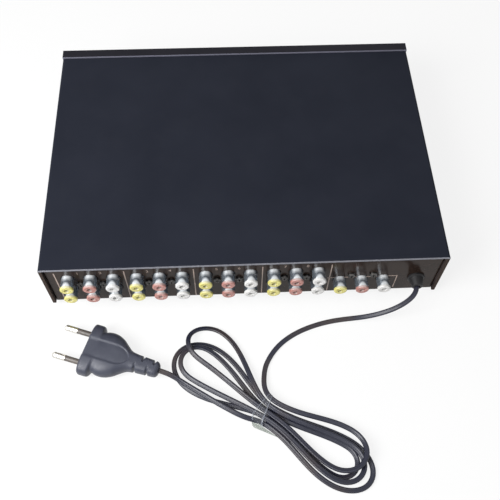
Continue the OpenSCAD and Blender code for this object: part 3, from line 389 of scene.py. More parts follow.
def tie_outline():
    """The film's line across the hank: along the flag, round the bundle and back, as (v, z) pairs."""
    corners = [
        (TIE_RIGHT, TIE_LOW, 0), (TIE_LEFT, TIE_LOW, -90),
        (TIE_LEFT, TIE_HIGH, -180), (TIE_RIGHT, TIE_HIGH, -270),
    ]
    middle = ((TIE_LEFT + TIE_RIGHT) / 2, (TIE_LOW + TIE_HIGH) / 2)
    flag = [FLAG_L * (1 - k / FLAG_STEPS) for k in range(FLAG_STEPS)]
    line = [(FLAG_FROM + reach, FLAG_Z - FILM_T * (FLAG_HALF + FLAG_LOW_OPENS * reach)) for reach in flag]
    for v, z, start in corners:
        cv = v - math.copysign(TIE_CORNER, v - middle[0])
        cz = z - math.copysign(TIE_CORNER, z - middle[1])
        for k in range(CORNER_STEPS + 1):
            angle = math.radians(start - 90 * k / CORNER_STEPS)
            line.append((cv + TIE_CORNER * math.cos(angle), cz + TIE_CORNER * math.sin(angle)))
    for reach in reversed(flag):
        line.append((FLAG_FROM + reach, FLAG_Z + FILM_T * (FLAG_HALF - FLAG_HIGH_CLOSES * reach)))
    return line


def make_tie():
    """The film with its wavy top, curled edges and flag, in three materials: film, edges with painted
    highlight lines, and flag.
    """
    line = tie_outline()
    count = len(line)
    points, faces, edges = [], [], []
    for j in range(TIE_COLUMNS):
        across = 2 * j / (TIE_COLUMNS - 1) - 1
        curl = EDGE_CURL * max(0, abs(across) + CURL_WIDTH - 1) / CURL_WIDTH
        for k, (v, z) in enumerate(line):
            past = max(0, v - FLAG_FROM) / FLAG_L
            short = FLAG_L * past * FLAG_NARROW * (max(0, across) + max(0, -across - FLAG_NARROW_FROM))
            wave = WAVE_HEIGHT * math.sin(WAVE_ROUND * k + WAVE_ACROSS * across)
            lift = wave + curl if z > TIE_LOW + TIE_CORNER else 0
            near, far = tie_edges(v)
            u = (near + far) / 2 + across * (far - near) / 2 + FLAG_FAN * past * max(0, across)
            points.append(from_rear(on_floor((u, v - short), z + lift)))
    for j in range(TIE_COLUMNS - 1):
        for k in range(count - 1):
            a = j * count + k
            faces.append((a, a + count, a + count + 1, a + 1))
            edges.append(j < NEAR_EDGE_COLUMNS or j >= TIE_COLUMNS - 1 - FAR_EDGE_COLUMNS)
    tie = add_object("clear_tie", mesh_from("clear_tie", points, faces))
    for face, edge in zip(tie.data.polygons, edges):
        on_flag = line[face.vertices[0] % count][0] > FLAG_FROM
        face.material_index = 2 if on_flag else 1 if edge else 0
    film = tie.modifiers.new("film", "SOLIDIFY")
    film.thickness = FILM_T * MM
    film.offset = 0
    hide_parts("cord_tie")
    return tie


tie = make_tie()

# Moulded plug

PLUG_SIDES = 128
PLUG_STEP = 0.3
# Places along the plug from its pin face, with half width, half thickness and how square the section is
PLUG_STATIONS = [
    (0.0, 15.4, 5.6, 3.0), (0.3, 16.2, 6.3, 3.0), (0.9, 16.6, 6.8, 3.0), (2.0, 16.7, 7.0, 3.0),
    (5.6, 16.6, 7.0, 3.0), (6.6, 16.2, 7.0, 3.0), (7.2, 15.3, 7.0, 2.9), (7.7, 13.9, 7.0, 2.8),
    (8.3, 13.4, 7.0, 2.7), (9.2, 13.5, 7.0, 2.6), (10.2, 13.9, 7.0, 2.6), (12.5, 14.3, 7.0, 2.6),
    (15.3, 14.2, 6.95, 2.6), (18.0, 13.5, 6.85, 2.6), (20.0, 12.6, 6.7, 2.6), (22.0, 11.4, 6.5, 2.6),
    (24.0, 9.8, 6.2, 2.6), (26.0, 8.2, 5.9, 2.6), (27.7, 6.9, 5.6, 2.7), (29.5, 6.1, 5.3, 2.8),
    (31.5, 5.7, 5.1, 3.0), (34.0, 5.4, 4.9, 3.0), (38.0, 5.2, 4.7, 3.0), (42.0, 5.0, 4.5, 3.0),
    (45.4, 4.8, 4.3, 3.0), (46.7, 4.4, 3.9, 3.0), (47.6, 3.5, 3.1, 2.6), (48.0, 2.6, 2.3, 2.4),
]
# Notches in the two edges of the strain relief, by the side of the plug they are on
NOTCHES = {1: (33.2, 41.2), -1: (37.0, 44.4)}
NOTCH_HALF = 0.85
NOTCH_DEPTH = 1.7
NOTCH_WALL = 0.4
# Where a notch starts beside the plug's middle plane, and over how far it reaches its depth
NOTCH_FROM = 1.0
NOTCH_RAMP = 1.5
# Shallow place for a label on both broad sides, open at the pin face and round at its other end
DISH_DEPTH = 0.65
DISH_HALF = 6.4
DISH_BEND = 19.0
DISH_TO = 28.4
DISH_WALL = 0.9


def ease(t):
    """Runs from 0 to 1 with a gentle start and end."""
    t = min(1, max(0, t))
    return t * t * (3 - 2 * t)


def notch(place, side):
    """Depth of the strain relief's notches on one edge."""
    gaps = (NOTCH_HALF - abs(place - middle) for middle in NOTCHES[side])
    return NOTCH_DEPTH * sum(ease(gap / NOTCH_WALL) for gap in gaps)


def dish(place, y):
    """Depth of the label place."""
    past = max(0, place - DISH_BEND) / (DISH_TO - DISH_BEND)
    if past >= 1:
        return 0
    return DISH_DEPTH * ease((DISH_HALF * math.sqrt(1 - past * past) - abs(y)) / DISH_WALL)


def plug_ring(place, half, thick, square):
    """One section of the plug, a rounded rectangle, less the label places and notches."""
    ring = []
    for k in range(PLUG_SIDES):
        angle = 2 * math.pi * (k + 0.5) / PLUG_SIDES
        c, s = math.cos(angle), math.sin(angle)
        y = half * math.copysign(abs(c) ** (2 / square), c)
        z = thick * math.copysign(abs(s) ** (2 / square), s)
        z -= math.copysign(dish(place, y), z)
        cut = notch(place, 1 if y > 0 else -1) * ease((abs(y) - NOTCH_FROM) / NOTCH_RAMP)
        y -= math.copysign(cut, y)
        ring.append((-place, y, z))
    return ring


def dense(stations):
    """Stations a small step apart, on smooth curves through the given ones."""
    ends = [stations[0]] + stations + [stations[-1]]
    slopes = [[(q - p) / (b[0] - a[0]) for p, q in zip(a, b)] for a, b in zip(ends, ends[2:])]
    out = []
    for a, b, rise_a, rise_b in zip(stations, stations[1:], slopes, slopes[1:]):
        reach = b[0] - a[0]
        parts = max(1, round(reach / PLUG_STEP))
        for i in range(parts):
            t = i / parts
            out.append(tuple(
                p + (q - p) * t * t * (3 - 2 * t) + reach * t * (1 - t) * (m * (1 - t) - n * t)
                for p, q, m, n in zip(a, b, rise_a, rise_b)
            ))
    return out + [stations[-1]]


def make_plug():
    """The plug's body, lying flat on the floor."""
    place = Matrix.Translation(from_rear(PLUG_AT)) @ Matrix.Rotation(PLUG_TURN, 4, "Z")
    rings = [[place @ Vector(p) for p in plug_ring(*s)] for s in dense(PLUG_STATIONS)]
    plug = add_object("plug_moulding", mesh_from("plug_moulding", *skin(rings)))
    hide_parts("plug_body")
    return plug


plug = make_plug()

# Printed lines and plain numbers on the rear sheet

REAR_RECESS = 2.0
FASCIA_Y = REAR_Y - REAR_RECESS
INK_T = 0.05
INK_W = 0.7
PRINT_LOW, PRINT_HIGH = 4.6, 39.5
SEPARATORS = [117.25, 74.75, 32.25, -10.5, -53.5]
# Left, right, top and lower end of the line round the input jacks
INPUT_BOX = (-52.0, -97.0, 22.2, 6.5)
NUMBER_SIZE = 3.6
NUMBER_Z = 37.4
BLOCK_FIRST, BLOCK_PITCH = 96.0, 42.5
OUTPUT_BLOCKS = 4
NUMBER_OFFSET = 7.0


def ink_bar(bm, x0, x1, z0, z1):
    """A flat bar of ink on the rear sheet."""
    middle = Vector(((x0 + x1) / 2, FASCIA_Y + INK_T / 2, (z0 + z1) / 2)) * MM
    size = Vector((abs(x1 - x0), INK_T, abs(z1 - z0))) * MM
    place = Matrix.Translation(middle) @ Matrix.Diagonal((*size, 1))
    bmesh.ops.create_cube(bm, size=1, matrix=place)


def ink_number(bm, text, x, z):
    """A plain number, read from behind the case."""
    curve = bpy.data.curves.new("number", "FONT")
    curve.body = text
    curve.size = NUMBER_SIZE * MM
    curve.extrude = INK_T / 2 * MM
    curve.align_x = "CENTER"
    holder = bpy.data.objects.new("number", curve)
    bpy.context.collection.objects.link(holder)
    shape = bpy.data.meshes.new_from_object(holder.evaluated_get(bpy.context.evaluated_depsgraph_get()))
    upright = Matrix(((-1, 0, 0), (0, 0, 1), (0, 1, 0))).to_4x4()
    shape.transform(Matrix.Translation(Vector((x, FASCIA_Y + INK_T / 2, z)) * MM) @ upright)
    bm.from_mesh(shape)
    bpy.data.objects.remove(holder)
    bpy.data.meshes.remove(shape)
    bpy.data.curves.remove(curve)


def make_print():
    """Lines between the blocks and round the input jacks, and a number for each output."""
    bm = bmesh.new()
    for x in SEPARATORS:
        ink_bar(bm, x - INK_W / 2, x + INK_W / 2, PRINT_LOW, PRINT_HIGH)
    left, right, top, low = INPUT_BOX
    ink_bar(bm, left, right, top - INK_W / 2, top + INK_W / 2)
    ink_bar(bm, right - INK_W / 2, right + INK_W / 2, low, top)
    for b in range(OUTPUT_BLOCKS):
        for k, side in enumerate((1, -1)):
            x = BLOCK_FIRST - b * BLOCK_PITCH + side * NUMBER_OFFSET
            ink_number(bm, str(2 * b + k + 1), x, NUMBER_Z)
    mesh = bpy.data.meshes.new("panel_print")
    bm.to_mesh(mesh)
    bm.free()
    marks = add_object("panel_print", mesh)
    return marks


marks = make_print()

# Materials

NOISE_ROUGHNESS = 0.55
BEVEL_SAMPLES = 4
# How closely a rounded normal agrees with the plain one, on an edge and away from it
ON_EDGE, OFF_EDGE = 0.75, 0.99


class Paint:
    """A procedural material, built a node at a time."""

    def __init__(self, name):
        self.material = bpy.data.materials.new(name)
        self.material.use_nodes = True
        self.tree = self.material.node_tree
        self.shader = self.tree.nodes["Principled BSDF"]
        self.place = self.node("ShaderNodeTexCoord").outputs["Object"]

    def node(self, kind, **settings):
        """A new node with these settings."""
        made = self.tree.nodes.new(kind)
        for key, value in settings.items():
            setattr(made, key, value)
        return made

    def put(self, socket, value):
        """Links a socket's value, or sets it if it is a plain one."""
        if isinstance(value, bpy.types.NodeSocket):
            self.tree.links.new(value, socket)
        else:
            socket.default_value = value

    def noise(self, size, detail=3.0):
        """Noise whose blotches are about size millimetres across."""
        made = self.node("ShaderNodeTexNoise")
        self.put(made.inputs["Vector"], self.place)
        made.inputs["Scale"].default_value = 1 / (size * MM)
        made.inputs["Detail"].default_value = detail
        made.inputs["Roughness"].default_value = NOISE_ROUGHNESS
        return made.outputs["Fac"]

    def spread(self, value, low, high, start=0.3, end=0.7):
        """Maps a value from start to end onto low to high."""
        made = self.node("ShaderNodeMapRange")
        self.put(made.inputs["Value"], value)
        for key, number in (("From Min", start), ("From Max", end), ("To Min", low), ("To Max", high)):
            made.inputs[key].default_value = number
        return made.outputs["Result"]

    def math(self, operation, a, b):
        """A sum, product or comparison of two values."""
        made = self.node("ShaderNodeMath", operation=operation)
        self.put(made.inputs[0], a)
        self.put(made.inputs[1], b)
        return made.outputs[0]

    def mix(self, factor, a, b):
        """A colour from a to b."""
        made = self.node("ShaderNodeMix", data_type="RGBA")
        self.put(made.inputs["Factor"], factor)
        self.put(made.inputs["A"], (*a, 1) if isinstance(a, tuple) else a)
        self.put(made.inputs["B"], (*b, 1) if isinstance(b, tuple) else b)
        return made.outputs["Result"]

    def edge(self, radius):
        """Rounded normal near edges, and a mask that is strongest on them."""
        made = self.node("ShaderNodeBevel", samples=BEVEL_SAMPLES)
        made.inputs["Radius"].default_value = radius * MM
        plain = self.node("ShaderNodeNewGeometry").outputs["True Normal"]
        dot = self.node("ShaderNodeVectorMath", operation="DOT_PRODUCT")
        self.put(dot.inputs[0], made.outputs["Normal"])
        self.put(dot.inputs[1], plain)
        return made.outputs["Normal"], self.spread(dot.outputs["Value"], 1, 0, ON_EDGE, OFF_EDGE)

    def place_on(self, axis):
        """Place along an axis of the part, in metres."""
        split = self.node("ShaderNodeSeparateXYZ")
        self.put(split.inputs[0], self.place)
        return split.outputs[axis]

    def facing(self, axis):
        """How far the surface faces along an axis of the part."""
        split = self.node("ShaderNodeSeparateXYZ")
        self.put(split.inputs[0], self.node("ShaderNodeNewGeometry").outputs["True Normal"])
        return split.outputs[axis]

    def bump(self, height, distance, strength, normal=None):
        """Roughens the surface by a height field that is distance millimetres deep."""
        made = self.node("ShaderNodeBump")
        self.put(made.inputs["Height"], height)
        made.inputs["Distance"].default_value = distance * MM
        made.inputs["Strength"].default_value = strength
        if normal is not None:
            self.put(made.inputs["Normal"], normal)
        self.put(self.shader.inputs["Normal"], made.outputs["Normal"])

    def finish(self, colour, rough, metal=0.0, gloss=0.5, coat=0.0):
        """The material, with its surface set."""
        self.put(self.shader.inputs["Base Color"], colour)
        self.put(self.shader.inputs["Roughness"], rough)
        self.put(self.shader.inputs["Metallic"], metal)
        self.shader.inputs["Specular IOR Level"].default_value = gloss
        self.shader.inputs["Coat Weight"].default_value = coat
        return self.material


PLATED_EDGE = 0.2


def moulded(name, dark, light, rough, grain=0.4, depth=0.02, blotch=6.0, gloss=0.5, radius=0.25):
    """Moulded plastic or rubber: a fine grain, slow colour drift and soft edges that catch light."""
    p = Paint(name)
    normal, rim = p.edge(radius)
    drift = p.mix(p.spread(p.noise(blotch), 0, 1), dark, light)
    tint = p.mix(p.math("MULTIPLY", rim, 0.25), drift, tuple(min(1, 1.6 * c + 0.01) for c in light))
    p.bump(p.noise(grain), depth, 0.6, normal)
    return p.finish(tint, p.spread(p.noise(2.0), rough - 0.05, rough + 0.06), gloss=gloss)


def plated(name, dark, light, rough):
    """Plated metal with faint drawn marks and slightly cloudy patches."""
    p = Paint(name)
    normal, rim = p.edge(PLATED_EDGE)
    cloud = p.mix(p.spread(p.noise(3.0), 0, 1), dark, light)
    p.bump(p.noise(0.6, 5.0), 0.006, 0.5, normal)
    worn = p.mix(p.math("MULTIPLY", rim, 0.3), cloud, light)
    return p.finish(worn, p.spread(p.noise(1.5), rough * 0.7, rough * 1.35), metal=1.0)


# Barrels of the jacks: reach from the rear sheet, radius, height of the lower row and pitch of the rows
SHELL_REACH = 8.5
SHELL_R = 4.15
LOW_ROW_Z = 19.6
ROW_PITCH = 12.5
# Shares of the reach over which the painted pale root reflection fades out and the painted bright tip
# glint comes in
ROOT_FADES = (0.15, 0.42)
TIP_COMES = (0.42, 0.9)
# Shares of the radius above the axis over which each painted reflection turns bright, and how far the
# tip's comes down
ROOT_BRIGHT = (0.6, 0.95)
TIP_BRIGHT = (1.0, 1.14)
TIP_DROP = 0.34


def shell_paint():
    """Bright nickel with painted reflections: pale along the top of the root and of each tip, dark on the
    flanks.
    """
    p = Paint("shell_nickel")
    normal, rim = p.edge(PLATED_EDGE)
    along = p.spread(p.place_on("Y"), 0, 1, FASCIA_Y * MM, (FASCIA_Y + SHELL_REACH) * MM)
    z = p.place_on("Z")
    upper_row = p.math("GREATER_THAN", z, (LOW_ROW_Z + ROW_PITCH / 2) * MM)
    row = p.math("MULTIPLY", upper_row, ROW_PITCH * MM)
    above_axis = p.math("SUBTRACT", p.math("SUBTRACT", z, row), LOW_ROW_Z * MM)
    top = p.math("DIVIDE", above_axis, SHELL_R * MM)
    # Painted highlight and reflections: a bright glint along the top of each tip and a pale reflection
    # along the top of each root, over the darker flank colour
    tip = p.math("MULTIPLY", p.spread(along, 0, 1, *TIP_COMES), TIP_DROP)
    painted_tip_glint = p.spread(p.math("ADD", top, tip), 0, 1, *TIP_BRIGHT)
    painted_root_reflection = p.math("MULTIPLY", p.spread(along, 1, 0, *ROOT_FADES), p.spread(top, 0, 1, *ROOT_BRIGHT))
    painted_reflections = p.math("MAXIMUM", painted_tip_glint, painted_root_reflection)
    nickel = p.mix(painted_reflections, (0.31, 0.355, 0.405), (0.93, 0.97, 1.0))
    tint = p.mix(p.math("MULTIPLY", rim, 0.3), nickel, (0.9, 0.9, 0.9))
    p.bump(p.noise(2.0, 5.0), 0.006, 0.5, normal)
    return p.finish(tint, p.spread(p.noise(3.0), 0.2, 0.26), p.spread(painted_reflections, 0.78, 0.36, 0, 1), coat=0.2)


def insert(name, dark, light):
    """Glossy coloured insulator with a rounded rim and a painted pale sheen along the top of its collar.
    """
    p = Paint(name)
    normal, rim = p.edge(0.45)
    drift = p.mix(p.spread(p.noise(3.0), 0, 1), dark, light)
    # Painted highlight: the collar turns towards white where it faces up
    drift_with_painted_sheen = p.mix(p.spread(p.facing("Z"), 0, 0.5, 0.55, 0.97), drift, (0.74, 0.74, 0.72))
    tint = p.mix(p.math("MULTIPLY", rim, 0.2), drift_with_painted_sheen, tuple(min(1, 1.4 * c + 0.01) for c in light))
    p.bump(p.noise(0.5), 0.006, 0.6, normal)
    return p.finish(tint, p.spread(p.noise(2.0), 0.21, 0.32), gloss=0.6)


# Places on the cover: under its hem, the height over which the bare edge starts, and inside its sides
HEM_Z = 45.3
HEM_STARTS = 0.2
COVER_INSIDE = 124.9
# Painted bounce light: the brown that light from a brown table below casts on the cover's inner lips and
# on its cut edge below the hem
PAINTED_BOUNCE_BROWN = (0.055, 0.041, 0.034)


def cover_paint():
    """Fine matte powder coat, faint smudges, a pale bare cut edge along the rear hem that is partly a
    painted highlight, and painted brown bounce light on the lips.
    """
    p = Paint("cover_powder_coat")
    normal, rim = p.edge(0.5)
    drift = p.mix(p.spread(p.noise(45.0, 2.0), 0, 1), (0.0172, 0.0195, 0.0284), (0.0209, 0.0234, 0.0336))
    smudge = p.math("MULTIPLY", p.spread(p.noise(14.0, 4.0), 0, 1, 0.52, 0.75), 0.2)
    hazy = p.mix(smudge, drift, (0.0262, 0.0283, 0.0378))
    speck = p.math("MULTIPLY", p.spread(p.noise(0.9, 2.0), 0, 1, 0.66, 0.72), 0.1)
    speckled = p.mix(speck, hazy, (0.045, 0.047, 0.055))
    worn = p.mix(p.math("MULTIPLY", rim, 0.3), speckled, (0.09, 0.092, 0.105))
    hem = p.spread(p.place_on("Z"), 0, 1, HEM_Z * MM, (HEM_Z + HEM_STARTS) * MM)
    # Rear-facing faces: pale grey above the hem for the bare cut edge with a painted highlight along it,
    # painted brown bounce light below it
    cut = p.mix(hem, PAINTED_BOUNCE_BROWN, (0.295, 0.30, 0.34))
    rear = p.math("GREATER_THAN", p.place_on("Y"), FASCIA_Y * MM)
    inner = p.math("LESS_THAN", p.math("ABSOLUTE", p.place_on("X"), 0), COVER_INSIDE * MM)
    worn_with_painted_bounce = p.mix(p.math("MULTIPLY", p.math("MULTIPLY", rear, inner), 0.7), worn, PAINTED_BOUNCE_BROWN)
    tint = p.mix(p.spread(p.facing("Y"), 0, 0.8, 0.7, 0.9), p.mix(hem, worn_with_painted_bounce, worn), cut)
    p.bump(p.noise(0.35, 2.0), 0.03, 0.5, normal)
    return p.finish(tint, p.spread(p.noise(20.0, 3.0), 0.52, 0.57), gloss=0.015)


# Rear face of the front plate and the width of the painted highlight along it
FRONT_REAR_Y = -84.0
FRONT_HIGHLIGHT_W = 0.4


def front_paint():
    """Satin front plate with a painted highlight line along its proud rear edge."""
    p = Paint("front_panel_satin")
    normal, rim = p.edge(0.3)
    drift = p.mix(p.spread(p.noise(25.0), 0, 1), (0.0105, 0.0102, 0.0145), (0.0145, 0.0140, 0.0195))
    worn = p.mix(p.math("MULTIPLY", rim, 0.15), drift, (0.04, 0.04, 0.046))
    # Painted highlight: a pale line on the top face along the proud rear edge
    highlight_y = (FRONT_REAR_Y - FRONT_HIGHLIGHT_W) * MM
    line = p.spread(p.place_on("Y"), 0, 0.8, highlight_y, highlight_y + FRONT_HIGHLIGHT_W / 2 * MM)
    p.bump(p.noise(0.3), 0.02, 0.6, normal)
    return p.finish(p.mix(line, worn, (0.21, 0.21, 0.27)), p.spread(p.noise(2.0), 0.37, 0.48), gloss=0.07)


def fascia_paint():
    """Glossy dark sheet, tinted brown as a painted reflection of a brown table below, with faint dust and
    a soft ripple in its reflections.
    """
    p = Paint("fascia_gloss")
    normal, rim = p.edge(0.3)
    # Dark sheet colours with a brown tint that is painted reflection of a brown table
    drift = p.mix(p.spread(p.noise(18.0), 0, 1), (0.0195, 0.0120, 0.0090), (0.0270, 0.0168, 0.0128))
    dust = p.math("MULTIPLY", p.spread(p.noise(0.8, 4.0), 0, 1, 0.6, 0.75), 0.1)
    dusty = p.mix(dust, drift, (0.11, 0.085, 0.07))
    tint = p.mix(p.math("MULTIPLY", rim, 0.3), dusty, (0.10, 0.078, 0.065))
    p.bump(p.noise(7.0, 2.0), 0.05, 0.25, normal)
    return p.finish(tint, p.spread(p.noise(5.0), 0.12, 0.22), gloss=0.1)


def film_paint(name, alpha, tint):
    """Clear film with fine creases."""
    p = Paint(name)
    p.bump(p.noise(2.5, 4.0), 0.15, 0.5)
    p.shader.inputs["Alpha"].default_value = alpha
    creased = p.mix(p.spread(p.noise(4.0), 0, 1), tint, tuple(0.85 * c for c in tint))
    return p.finish(creased, p.spread(p.noise(3.0), 0.12, 0.3), gloss=0.6)


def cord_paint():
    """Soft vinyl, bluish black with browner, duller places."""
    p = Paint("cord_vinyl")
    drift = p.mix(p.spread(p.noise(25.0, 3.0), 0, 1), (0.0125, 0.0140, 0.0265), (0.0205, 0.0220, 0.0375))
    brown = p.math("MULTIPLY", p.spread(p.noise(40.0, 2.0), 0, 1, 0.46, 0.62), 0.7)
    p.bump(p.noise(0.5, 3.0), 0.015, 0.5)
    tint = p.mix(brown, drift, (0.052, 0.038, 0.033))
    return p.finish(tint, p.spread(p.noise(10.0), 0.26, 0.38), gloss=0.35)


def board_paint():
    """Solder mask over copper, with slow mottling."""
    p = Paint("board_solder_mask")
    drift = p.mix(p.spread(p.noise(9.0), 0, 1), (0.012, 0.09, 0.028), (0.02, 0.14, 0.045))
    copper = p.spread(p.noise(2.2, 1.0), 0, 0.4, 0.53, 0.57)
    p.bump(p.noise(2.2, 1.0), 0.02, 0.5)
    return p.finish(p.mix(copper, drift, (0.05, 0.2, 0.07)), p.spread(p.noise(4.0), 0.25, 0.4))


def light_paint():
    """Diffused green lens."""
    p = Paint("light_lens")
    p.bump(p.noise(0.6), 0.02, 0.4)
    p.shader.inputs["Transmission Weight"].default_value = 0.35
    tint = p.mix(p.spread(p.noise(2.0), 0, 1), (0.06, 0.42, 0.11), (0.1, 0.55, 0.16))
    return p.finish(tint, p.spread(p.noise(1.0), 0.2, 0.32))


SLOT_PAINTS = {
    "cover_black": cover_paint(),
    "chassis_black": moulded(
        "chassis_coat", (0.018, 0.017, 0.016), (0.026, 0.024, 0.023),
        rough=0.5, grain=0.3, depth=0.03, blotch=20.0, gloss=0.3,
    ),
    "panel_black": front_paint(),
    "fascia_gloss": fascia_paint(),
    "foot_rubber": moulded(
        "foot_rubber", (0.012, 0.012, 0.012), (0.02, 0.02, 0.02), rough=0.75, grain=0.5, depth=0.04,
    ),
    "screw_steel": plated("screw_zinc", (0.5, 0.5, 0.5), (0.68, 0.68, 0.7), rough=0.3),
    "screw_black": plated("screw_blackened", (0.05, 0.048, 0.046), (0.14, 0.135, 0.13), rough=0.32),
    "board_green": board_paint(),
    "spacer_brass": plated("spacer_brass", (0.55, 0.4, 0.15), (0.72, 0.55, 0.24), rough=0.3),
    "housing_black": moulded("housing_plastic", (0.014, 0.014, 0.015), (0.024, 0.024, 0.026), rough=0.5),
    "shell_nickel": shell_paint(),
    "insert_yellow": insert("insert_yellow", (0.575, 0.525, 0.13), (0.72, 0.66, 0.215)),
    "insert_red": insert("insert_red", (0.365, 0.15, 0.125), (0.465, 0.21, 0.18)),
    "insert_white": insert("insert_white", (0.6, 0.595, 0.585), (0.74, 0.735, 0.725)),
    "contact_brass": plated("contact_brass", (0.5, 0.38, 0.16), (0.7, 0.56, 0.28), rough=0.28),
    "chip_black": moulded(
        "chip_epoxy", (0.014, 0.014, 0.014), (0.024, 0.024, 0.024),
        rough=0.55, grain=0.25, depth=0.02, blotch=2.0,
    ),
    "capacitor_blue": moulded(
        "sleeve_blue", (0.018, 0.03, 0.12), (0.03, 0.05, 0.19), rough=0.3, grain=0.6, depth=0.01,
    ),
    "capacitor_black": moulded(
        "sleeve_dark", (0.014, 0.014, 0.018), (0.025, 0.025, 0.03), rough=0.3, grain=0.6, depth=0.01,
    ),
    "sink_aluminium": plated("sink_aluminium", (0.55, 0.55, 0.56), (0.7, 0.7, 0.72), rough=0.38),
    "header_white": moulded("header_nylon", (0.66, 0.63, 0.55), (0.8, 0.77, 0.7), rough=0.45),
    "core_steel": plated("core_laminations", (0.14, 0.13, 0.12), (0.25, 0.24, 0.23), rough=0.5),
    "coil_tape": moulded(
        "coil_tape", (0.55, 0.4, 0.05), (0.72, 0.55, 0.1), rough=0.3, grain=1.2, depth=0.03, blotch=5.0,
    ),
    "strap_steel": plated("strap_zinc", (0.5, 0.5, 0.5), (0.66, 0.66, 0.67), rough=0.34),
    "switch_black": moulded("switch_plastic", (0.02, 0.02, 0.022), (0.03, 0.03, 0.033), rough=0.5),
    "plunger_white": moulded("plunger_nylon", (0.68, 0.68, 0.65), (0.8, 0.8, 0.78), rough=0.45),
    "button_grey": moulded(
        "button_satin", (0.12, 0.12, 0.125), (0.17, 0.17, 0.175),
        rough=0.4, grain=0.3, depth=0.02, blotch=5.0,
    ),
    "light_green": light_paint(),
    "wire_brown": moulded("wire_brown", (0.13, 0.05, 0.02), (0.2, 0.08, 0.035), rough=0.45),
    "wire_yellow": moulded("wire_yellow", (0.5, 0.35, 0.03), (0.62, 0.45, 0.06), rough=0.45),
    "wire_red": moulded("wire_red", (0.28, 0.03, 0.02), (0.38, 0.05, 0.035), rough=0.45),
    "gland_black": moulded(
        "gland_rubber", (0.006, 0.006, 0.007), (0.01, 0.01, 0.011),
        rough=0.55, grain=0.4, depth=0.03, blotch=4.0, gloss=0.35,
    ),
    "cord_black": cord_paint(),
    "tie_clear": film_paint("tie_film", 0.035, (0.45, 0.47, 0.46)),
    "plug_black": moulded(
        "plug_vinyl", (0.035, 0.039, 0.058), (0.05, 0.054, 0.075),
        rough=0.42, grain=0.5, depth=0.02, blotch=9.0, gloss=0.4, radius=0.4,
    ),
    "pin_nickel": plated("pin_nickel", (0.62, 0.6, 0.55), (0.82, 0.8, 0.76), rough=0.24),
    "sleeve_black": moulded("sleeve_plastic", (0.075, 0.064, 0.057), (0.11, 0.094, 0.083), rough=0.4),
}


def dress_nodes():
    """Gives each CAD node the paint of its slot in the record."""
    slots = {s["node"]: s["material_slot"] for s in frame["record"]["subparts"]}
    for name, obj in NODES.items():
        paint = SLOT_PAINTS[slots[name]]
        if obj.material_slots:
            for place in obj.material_slots:
                place.material = paint
        else:
            obj.data.materials.append(paint)


dress_nodes()
cord.data.materials.append(SLOT_PAINTS["cord_black"])
plug.data.materials.append(SLOT_PAINTS["plug_black"])
tie.data.materials.append(SLOT_PAINTS["tie_clear"])
# Painted highlight: paler, more opaque film along both edges, as light lines
tie.data.materials.append(film_paint("tie_film_edge_highlight", 0.3, (0.36, 0.39, 0.45)))
tie.data.materials.append(film_paint("tie_film_flag", 0.4, (0.36, 0.40, 0.36)))
marks.data.materials.append(moulded(
    "print_tan", (0.34, 0.26, 0.22), (0.44, 0.34, 0.29), rough=0.5, grain=0.5, depth=0.01, blotch=3.0,
))

# Floor, lights and world

FLOOR_HALF = 6.0
FLOOR_GREY = 0.88
FLOOR_ROUGHNESS = 0.9
# How much of the floor shows as plain white, and the world's share of light on the part
FLOOR_WHITE = 0.82
WORLD_LIGHT = 0.26
# Name, place, aim and size in metres, and power in watts
LAMPS = [
    ("key", (0.46, 0.34, 0.52), (0.02, 0.03, 0), (0.45, 0.45), 7.2),
    ("fill", (-0.7, 0.55, 0.7), (0, 0.03, 0), (0.9, 0.9), 0.6),
    ("top", (0.1, 0.14, 1.1), (0, 0.09, 0), (0.4, 0.4), 1.2),
    ("front", (-0.25, -1.0, 0.16), (0, -0.09, 0.02), (0.8, 0.25), 2.6),
]


def seen_directly(tree):
    """1 for rays that show a surface itself or its mirror image, 0 for rays that light other things."""
    path = tree.nodes.new("ShaderNodeLightPath")
    total = path.outputs["Is Camera Ray"]
    for name in ("Is Glossy Ray", "Is Transmission Ray"):
        most = tree.nodes.new("ShaderNodeMath")
        most.operation = "MAXIMUM"
        tree.links.new(total, most.inputs[0])
        tree.links.new(path.outputs[name], most.inputs[1])
        total = most.outputs[0]
    return total


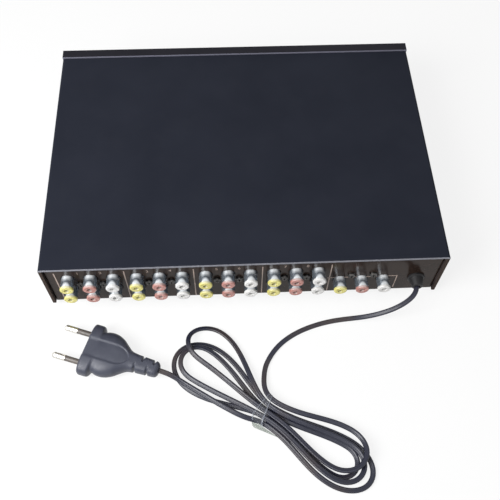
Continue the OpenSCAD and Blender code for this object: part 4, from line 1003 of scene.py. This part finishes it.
def make_floor():
    """A wide matte floor that looks white to the camera and takes the part's shadow."""
    mesh = bpy.data.meshes.new("floor")
    h = FLOOR_HALF
    mesh.from_pydata([(-h, -h, 0), (h, -h, 0), (h, h, 0), (-h, h, 0)], [], [(0, 1, 2, 3)])
    floor = bpy.data.objects.new("floor", mesh)
    bpy.context.collection.objects.link(floor)
    material = bpy.data.materials.new("floor_white")
    material.use_nodes = True
    tree = material.node_tree
    matte = tree.nodes["Principled BSDF"]
    matte.inputs["Base Color"].default_value = (FLOOR_GREY, FLOOR_GREY, FLOOR_GREY, 1)
    matte.inputs["Roughness"].default_value = FLOOR_ROUGHNESS
    matte.inputs["Specular IOR Level"].default_value = 0.0
    glow = tree.nodes.new("ShaderNodeEmission")
    part = tree.nodes.new("ShaderNodeMath")
    part.operation = "MULTIPLY"
    part.inputs[1].default_value = FLOOR_WHITE
    tree.links.new(seen_directly(tree), part.inputs[0])
    blend = tree.nodes.new("ShaderNodeMixShader")
    tree.links.new(part.outputs[0], blend.inputs["Fac"])
    tree.links.new(matte.outputs[0], blend.inputs[1])
    tree.links.new(glow.outputs[0], blend.inputs[2])
    tree.links.new(blend.outputs[0], tree.nodes["Material Output"].inputs["Surface"])
    mesh.materials.append(material)


def make_lamp(name, place, aim, size, power):
    """An area lamp that points from its place to its aim."""
    data = bpy.data.lights.new(name, "AREA")
    data.shape = "RECTANGLE"
    data.size, data.size_y = size
    data.energy = power
    lamp = bpy.data.objects.new(name, data)
    lamp.location = place
    lamp.rotation_euler = (Vector(aim) - Vector(place)).to_track_quat("-Z", "Y").to_euler()
    bpy.context.collection.objects.link(lamp)


def make_world():
    """A white world that lights the part more softly than it shows."""
    world = bpy.data.worlds.new("studio")
    bpy.context.scene.world = world
    world.use_nodes = True
    tree = world.node_tree
    back = tree.nodes["Background"]
    back.inputs["Color"].default_value = (1, 1, 1, 1)
    strength = tree.nodes.new("ShaderNodeMapRange")
    strength.inputs["To Min"].default_value = WORLD_LIGHT
    strength.inputs["To Max"].default_value = 1.0
    tree.links.new(seen_directly(tree), strength.inputs["Value"])
    tree.links.new(strength.outputs["Result"], back.inputs["Strength"])


make_floor()
for lamp in LAMPS:
    make_lamp(*lamp)
make_world()
bpy.context.scene.view_settings.view_transform = "Standard"
